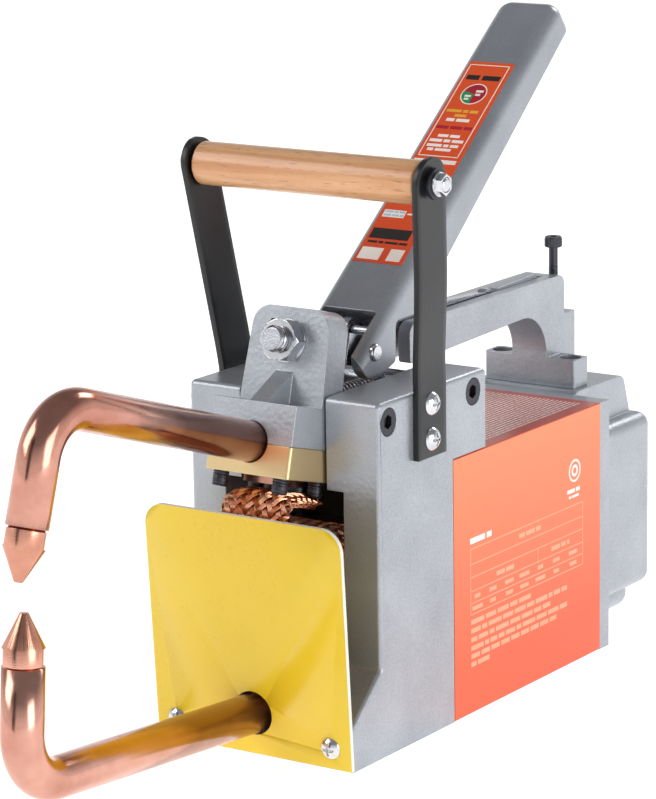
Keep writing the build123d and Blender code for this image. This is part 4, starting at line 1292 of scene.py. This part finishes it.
@dataclass
class TopPrint:
    """Dense small print on the red label on top of the case."""

    ink: float = 0.03
    lines: int = 37
    pitch: float = 2.1
    first: float = -38.0

    def build(self) -> list[str]:
        """Print the top.

        Returns:
            The piece's name.
        """
        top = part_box("top_label")[1].z
        place = Matrix(((0, 1, 0, 0), (-1, 0, 0, 0), (0, 0, 1, top), (0, 0, 0, 1)))
        rects = []
        for i in range(self.lines):
            x = self.first + i * self.pitch
            rects += words(-166.0, -88.0 + (i * 13 % 9), x, 0.95, i)
        return [hand_over(printed("top_print", place, rects, self.ink, Finish.WHITE_PRINT), "body", "red_label")]


@dataclass
class LeverPrint:
    """White border, two-colour dial and generic bars on the lever's label."""

    end: float = 154.6
    side: float = 9.7
    crown: float = 7.25
    dial: tuple[float, float] = (0.0, 135.9)
    ink: float = 0.04

    def build(self) -> list[str]:
        """Print the lever's label.

        Returns:
            The pieces' names.
        """
        lever = turned(joint_place("lever_squeeze"), LEVER_ANGLE)
        place = lever @ Matrix.Translation((0, 0, self.crown * MM))
        split, top, edge, side = 99.6, self.end - 1.6, 0.45, self.side
        border = [(-side, top - edge, side, top), (-side, split, side, split + edge),
                  (-side, split, -side + edge, top), (side - edge, split, side, top)]
        white = border + words(-6.0, 6.0, 120.6, 1.7, 3) + words(-5.5, 5.0, 111.4, 1.5, 5)
        white += words(-8.2, 8.0, 108.6, 1.6, 2)
        white += words(-8.2, 7.8, 105.8, 1.5, 4) + words(-7.0, 6.6, 103.5, 1.5, 6) + words(-10.2, 10.2, 96.8, 2.2, 1)
        white += [(-9.8, 64.6, 0.6, 68.6), (1.6, 66.6, 10.2, 67.4)] + words(-10.2, 10.2, 44.6, 6.4, 9)
        yellow = words(-8.2, 8.2, 125.8, 1.5, 4) + words(-3.2, 3.2, 123.2, 1.5, 2)
        faint = words(-8.6, 8.6, 116.2, 1.7, 5)
        black = words(-8.0, 8.2, 145.4, 2.7, 3) + words(-10.2, 10.4, 55.6, 5.6, 5) + words(-9.4, 9.4, 50.9, 1.2, 2)
        blue = words(-9.2, 0.2, 67.6, 1.0, 2) + words(-9.2, 0.2, 65.7, 1.0, 5)
        pieces = [
            printed("lever_print_white", place, white, self.ink, Finish.WHITE_PRINT),
            printed("lever_print_yellow", place, yellow, self.ink, Finish.YELLOW_PRINT),
            printed("lever_print_faint", place, faint, self.ink, Finish.RED_PRINT),
            printed("lever_print_black", place, black, self.ink, Finish.BLACK_PRINT),
            printed("lever_print_blue", place, blue, self.ink * 1.6, Finish.BLUE_PRINT),
            sector("dial_rim", place, self.dial, (5.5, 6.0), (0, 360), self.ink, Finish.WHITE_PRINT),
            sector("dial_red_part", place, self.dial, (0.02, 5.45), (-90, 165), self.ink, Finish.RED_PRINT),
            sector("dial_green_part", place, self.dial, (0.02, 5.45), (165, 270), self.ink, Finish.GREEN_PRINT),
            printed("dial_marks", place, words(-3.8, -0.8, 134.6, 1.1, 1) + words(-3.4, -1.2, 132.9, 1.0, 3)
                    + words(0.4, 4.0, 137.6, 1.3, 2) + words(0.8, 3.2, 135.6, 1.2, 3),
                    self.ink * 1.6, Finish.WHITE_PRINT),
        ]
        return [hand_over(p, "lever", "lever_film") for p in pieces]


@dataclass
class Threads:
    """Screw threads on the adjusting rod and the clamp screws, and the knurled switch screw."""

    rod_radius: float = 5.0
    stud_radius: float = 3.0

    def build(self) -> list[str]:
        """Grow the threads and the knurl.

        Returns:
            The pieces' names.
        """
        made = []
        thread = thread_tree()
        rocker = turned(joint_place("rocker_close"), ROCKER_TILT)
        rod = rocker @ Matrix.Translation((0, -20.1 * MM, 26.2 * MM)) @ Matrix.Rotation(radians(-90), 4, "X")
        values = {"Radius": (self.rod_radius - 0.1) * MM, "Pitch": 1.5 * MM, "Length": 6.0 * MM, "Tooth": 0.42 * MM,
                  "Finish": Finish.CHROME.get()}
        made.append(hand_over(grown("rod_thread", thread, values, rod), "pressure_rod", "bright_steel"))
        for i, (x, y) in enumerate(((-14, -22.5), (14, -22.5), (-14, 2), (14, 2))):
            stud = rocker @ Matrix.Translation((x * MM, y * MM, -32.8 * MM))
            values = {"Radius": (self.stud_radius - 0.1) * MM, "Pitch": 1.0 * MM, "Length": 5.4 * MM,
                      "Tooth": 0.4 * MM, "Finish": Finish.OXIDE.get()}
            made.append(hand_over(grown(f"clamp_thread_{i}", thread, values, stud), "rocker", "black_oxide"))
        low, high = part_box("switch_screw")
        middle = (low + high) / 2
        head = Matrix.Translation((middle.x, middle.y, high.z - 2.5 * MM))
        values = {"Radius": 3.55 * MM, "Height": 3.4 * MM, "Rib": 0.34 * MM, "Ribs": 34, "Finish": Finish.OXIDE.get()}
        made.append(hand_over(grown("switch_knurl", knurl_tree(), values, head), "switch_screw", "black_oxide"))
        shank = Matrix.Translation((middle.x, middle.y, high.z - 30.0 * MM))
        values = {"Radius": 1.85 * MM, "Pitch": 0.7 * MM, "Length": 17.0 * MM, "Tooth": 0.26 * MM,
                  "Finish": Finish.OXIDE.get()}
        made.append(hand_over(grown("switch_thread", thread, values, shank), "switch_screw", "black_oxide"))
        return made


@dataclass
class Braid:
    """The woven copper strap from the rocker down to the transformer's terminal."""

    route: tuple[tuple[float, float], ...] = (
        (3.0, 98.6), (-8.0, 101.6), (-15.4, 102.2), (-19.6, 98.4), (-21.0, 90.0), (-19.2, 83.4), (-12.0, 80.4),
        (8.0, 80.4), (28.0, 80.4))

    def build(self) -> list[str]:
        """Weave the braid along its bent path from the rocker down to the body.

        Returns:
            The piece's name.
        """
        values = {"Half Width": 15.2 * MM, "Half Thickness": 2.2 * MM, "Weave": 0.62 * MM, "Turns": 1.25,
                  "Wire Radius": 0.3 * MM, "Wire Gap": 0.56 * MM, "Carriers": 20, "Wires": 4, "Samples": 120,
                  "Finish": Finish.STRAND.get()}
        path = [(0.0, y * MM, z * MM) for y, z in self.route]
        piece = grown("woven_braid", braid_tree(), values, Matrix.Identity(4), path)
        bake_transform(piece)
        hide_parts("copper_braid")
        return [piece.name]


@dataclass
class CarryingStraps:
    """The two bent steel straps that hold the grip."""

    wall: float = 45.0
    clear: float = 0.02
    thick: float = 2.5
    half: float = 10.2
    rim: float = 0.35
    foot: float = 114.9
    bend: float = 143.0
    middle: float = 34.2
    lean: float = 9.3
    knee: float = 42.0
    soft: float = 9.0
    flares: tuple[tuple[str, int, float, float], ...] = (("strap_right", 1, 8.0, 5.0), ("strap_left", -1, 4.6, 4.6))

    def eased(self, past: float) -> float:
        """Return a distance past a bend, eased in over the bend's soft length.

        Args:
            past: distance past the bend's middle, negative before it.

        Returns:
            Zero before the bend, the distance after it, and a curve between.
        """
        if past <= -self.soft:
            return 0.0
        return past if past >= self.soft else (past + self.soft) ** 2 / (4 * self.soft)

    def out_at(self, high: float, low_flare: float, top_flare: float) -> float:
        """Return how far out a strap stands, with soft bends.

        Args:
            high: height over the bend, negative below it.
            low_flare: flare up to the knee, in degrees.
            top_flare: flare over the knee, in degrees.

        Returns:
            The distance out from the casting's wall, in millimetres.
        """
        first, second = tan(radians(low_flare)), tan(radians(top_flare))
        return first * self.eased(high - self.soft * 0.4) + (second - first) * self.eased(high - self.knee)

    def place(self, side: int, across: float, high: float, deep: float,
              low_flare: float, top_flare: float) -> Point:
        """Return a point of the strap, in metres.

        Args:
            side: 1 on the right, -1 on the left.
            across: place across the strap's width.
            high: height over the bend, negative below it.
            deep: distance from the inner face.
            low_flare: flare up to the knee, in degrees.
            top_flare: flare over the knee, in degrees.

        Returns:
            The point.
        """
        lean = radians(self.lean) if high > 0 else 0.0
        y = self.middle + across * cos(lean) - high * sin(lean)
        z = self.bend + high * cos(lean) + across * sin(lean)
        x = self.wall + deep + self.out_at(high, low_flare, top_flare)
        return (side * x * MM, y * MM, z * MM)

    def build(self) -> list[str]:
        """Build both straps.

        Returns:
            The pieces' names.
        """
        made = []
        for node, side, low_flare, top_flare in self.flares:
            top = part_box(node)[1].z / MM
            end = (top - self.half - self.bend) / cos(radians(self.lean))
            heights = [self.foot - self.bend + 0.01, -14.0, -7.0, -3.0, -0.6, 0.6]
            heights += [3.0 * i for i in range(1, int(end / 3))] + [end]
            heights += [end + self.half * sin(radians(a)) for a in range(10, 90, 10)]
            work = bmesh.new()
            rows = []
            for high in heights:
                reach = self.half if high <= end else (self.half ** 2 - (high - end) ** 2) ** 0.5
                rows.append([work.verts.new(self.place(side, reach * k / 4, high, deep, low_flare, top_flare))
                             for deep, steps in ((self.clear, range(-4, 5)), (self.thick, range(4, -5, -1)))
                             for k in steps])
            for below, above in zip(rows, rows[1:]):
                for i in range(len(below)):
                    j = (i + 1) % len(below)
                    work.faces.new((below[i], below[j], above[j], above[i]))
            for row in (rows[0], rows[-1]):
                for k in range(8):
                    work.faces.new((row[k], row[k + 1], row[16 - k], row[17 - k]))
            bmesh.ops.recalc_face_normals(work, faces=work.faces)
            piece = new_piece(node + "_skin", [], [], [Finish.STRAP])
            work.to_mesh(piece.data)
            work.free()
            piece.data.shade_smooth()
            rim = piece.modifiers.new("soft rim", "BEVEL")
            rim.width, rim.segments = self.rim * MM, 2
            rim.limit_method, rim.angle_limit = "ANGLE", radians(40)
            plain_mesh(piece)
            piece.data.set_sharp_from_angle(angle=radians(40))
            made.append(hand_over(piece, "body", slot_of_node(node), node))
        return made


@dataclass
class Studio:
    """Pale floor, soft lights and the camera."""

    azimuth: float = 34.155
    elevation: float = 12.81
    roll: float = -0.898
    distance: float = 1.394
    aside: float = 0.01570
    above: float = 0.13565
    lens: float = 157.58
    walls: Colour = (1.0, 1.0, 1.0)
    ceiling: Colour = (0.26, 0.27, 0.28)
    floor_glow: float = 0.7
    aim: Point = (0.0, 0.02, 0.12)
    lamps: tuple[tuple[str, Point, float, float], ...] = (
        ("key light", (-1.2, -1.1, 1.25), 1.1, 13), ("side light", (1.7, -0.3, 0.5), 1.0, 10),
        ("back light", (0.2, 1.5, 1.2), 0.6, 6))

    def camera(self) -> None:
        """Place the camera."""
        a, e, r = radians(self.azimuth), radians(self.elevation), radians(self.roll)
        back = Vector((sin(a) * cos(e), -cos(a) * cos(e), sin(e)))
        right = Vector((cos(a), sin(a), 0))
        up = back.cross(right)
        right, up = right * cos(r) + up * sin(r), up * cos(r) - right * sin(r)
        data = bpy.data.cameras.new("camera")
        data.lens, data.sensor_width, data.clip_start, data.clip_end = self.lens, 36.0, 0.05, 20.0
        shot = bpy.data.objects.new("camera", data)
        bpy.context.scene.collection.objects.link(shot)
        turn = Matrix((right, up, back)).transposed().to_4x4()
        shot.matrix_world = Matrix.Translation(back * self.distance + right * self.aside + up * self.above) @ turn
        bpy.context.scene.camera = shot

    def light(self, name: str, spot: Point, size: float, power: float) -> None:
        """Add a soft light aimed at the welder.

        Args:
            name: the light's name.
            spot: where it stands, in metres.
            size: its side, in metres.
            power: its power, in watts.
        """
        data = bpy.data.lights.new(name, "AREA")
        data.size, data.energy = size, power
        lamp = bpy.data.objects.new(name, data)
        bpy.context.scene.collection.objects.link(lamp)
        aim = Vector(self.aim) - Vector(spot)
        lamp.matrix_world = Matrix.Translation(spot) @ aim.to_track_quat("-Z", "Y").to_matrix().to_4x4()

    def card(self, name: str, spot: Point, wide: float, tall: float) -> None:
        """Stand a black card beside the welder, seen only in reflections.

        Args:
            name: the card's name.
            spot: its middle, in metres.
            wide: its width.
            tall: its height.
        """
        made = bpy.data.materials.get("black_card") or bpy.data.materials.new("black_card")
        made.use_nodes = True
        made.node_tree.nodes["Principled BSDF"].inputs["Base Color"].default_value = (0.01, 0.01, 0.01, 1)
        x, y = wide / 2, tall / 2
        corners = [(-x, -y, 0), (x, -y, 0), (x, y, 0), (-x, y, 0)]
        board = new_piece(name, corners, [(0, 1, 2, 3)], [])
        board.data.materials.append(made)
        aim = Vector(self.aim) - Vector(spot)
        board.matrix_world = Matrix.Translation(spot) @ aim.to_track_quat("Z", "Y").to_matrix().to_4x4()
        board.visible_camera = False
        board.visible_shadow = False

    def build(self) -> list[str]:
        """Set up the studio.

        Returns:
            The names of what it holds.
        """
        floor = new_piece("floor", [(-6, -6, -0.0004), (6, -6, -0.0004), (6, 6, -0.0004), (-6, 6, -0.0004)],
                          [(0, 1, 2, 3)], [])
        made = bpy.data.materials.new("studio_floor")
        made.use_nodes = True
        shader = made.node_tree.nodes["Principled BSDF"]
        shader.inputs["Base Color"].default_value = (0.90, 0.90, 0.91, 1)
        shader.inputs["Roughness"].default_value = 0.8
        shader.inputs["Emission Color"].default_value = (1, 1, 1, 1)
        shader.inputs["Emission Strength"].default_value = self.floor_glow
        floor.data.materials.append(made)
        world = bpy.data.worlds.new("studio")
        world.use_nodes = True
        nodes, links = world.node_tree.nodes, world.node_tree.links
        nodes.clear()
        sky = nodes.new("ShaderNodeTexCoord")
        sky.label, sky.location = "Direction", (-800, 0)
        split = nodes.new("ShaderNodeSeparateXYZ")
        split.label, split.location = "Height above the horizon", (-600, 0)
        ramp = nodes.new("ShaderNodeValToRGB")
        ramp.label, ramp.location = "White walls, dark ceiling", (-400, 0)
        ramp.color_ramp.elements[0].position = 0.12
        ramp.color_ramp.elements[0].color = (*self.walls, 1)
        ramp.color_ramp.elements[1].position = 0.55
        ramp.color_ramp.elements[1].color = (*self.ceiling, 1)
        glow = nodes.new("ShaderNodeBackground")
        glow.label, glow.location = "Studio glow", (-120, 0)
        out = nodes.new("ShaderNodeOutputWorld")
        out.label, out.location = "World", (80, 0)
        links.new(sky.outputs["Generated"], split.inputs["Vector"])
        links.new(split.outputs["Z"], ramp.inputs["Fac"])
        links.new(ramp.outputs["Color"], glow.inputs["Color"])
        links.new(glow.outputs["Background"], out.inputs["Surface"])
        bpy.context.scene.world = world
        bpy.context.scene.view_settings.view_transform = "Standard"
        bpy.context.scene.view_settings.exposure = 0.0
        for name, spot, size, power in self.lamps:
            self.light(name, spot, size, power)
        self.card("dark card in front", (-0.15, -1.3, 0.35), 0.34, 1.6)
        self.camera()
        return ["floor", "camera"]


def main() -> None:
    """Build every sub-assembly in order and report its pieces."""
    logging.basicConfig(level=logging.INFO, format="%(name)s: %(message)s")
    parts = [
        Studio(),
        Skins("castings", Finish.CASTING, ("front_housing", "rear_frame", "rear_cover", "lever_bracket",
                                            "switch_holder", "arm_holder", "transformer_case", "bracket_key"), 0.35),
        Skins("lever", Finish.LEVER, ("lever",), 0.3),
        Skins("copper arms", Finish.COPPER, ("lower_arm", "upper_arm"), 0.0, 40.0),
        Skins("copper tips", Finish.TIP, ("lower_tip", "upper_tip"), 0.15),
        Skins("brass clamp", Finish.BRASS, ("brass_clamp",), 0.4),
        Skins("bright pins and bars", Finish.STEEL, ("pressure_rod", "toggle_link", "ground_pin", "pivot_shaft",
                                                      "tie_shaft"), 0.2),
        Skins("springs", Finish.STEEL, ("pressure_spring", "return_spring", "plunger_spring"), 0.0),
        Skins("plated hardware", Finish.CHROME, ("adjusting_nut", "nut_washer", "lever_pin", "strap_screws",
                                                  "guard_screws", "cover_screws", "grip_bolt", "grip_nut",
                                                  "terminal_bolts"), 0.2, 36.0),
        Skins("black hardware", Finish.OXIDE, ("side_screws", "clamp_screws", "bracket_bolts", "switch_screw",
                                                "lower_clamp_screws", "grip_washers", "braid_bolts"), 0.15),
        CarryingStraps(),
        Skins("grip", Finish.BEECH, ("wooden_grip",), 0.0),
        Skins("cord bush", Finish.RUBBER, ("cord_bush",), 0.3),
        HiddenParts(),
        GuardPlate(),
        SidePrint(),
        TopPrint(),
        LeverPrint(),
        Threads(),
        Braid(),
    ]
    for part in parts:
        for name in part.build():
            log.info("%s: %s", getattr(part, "label", type(part).__name__), name)


if __name__ == "__main__":
    main()
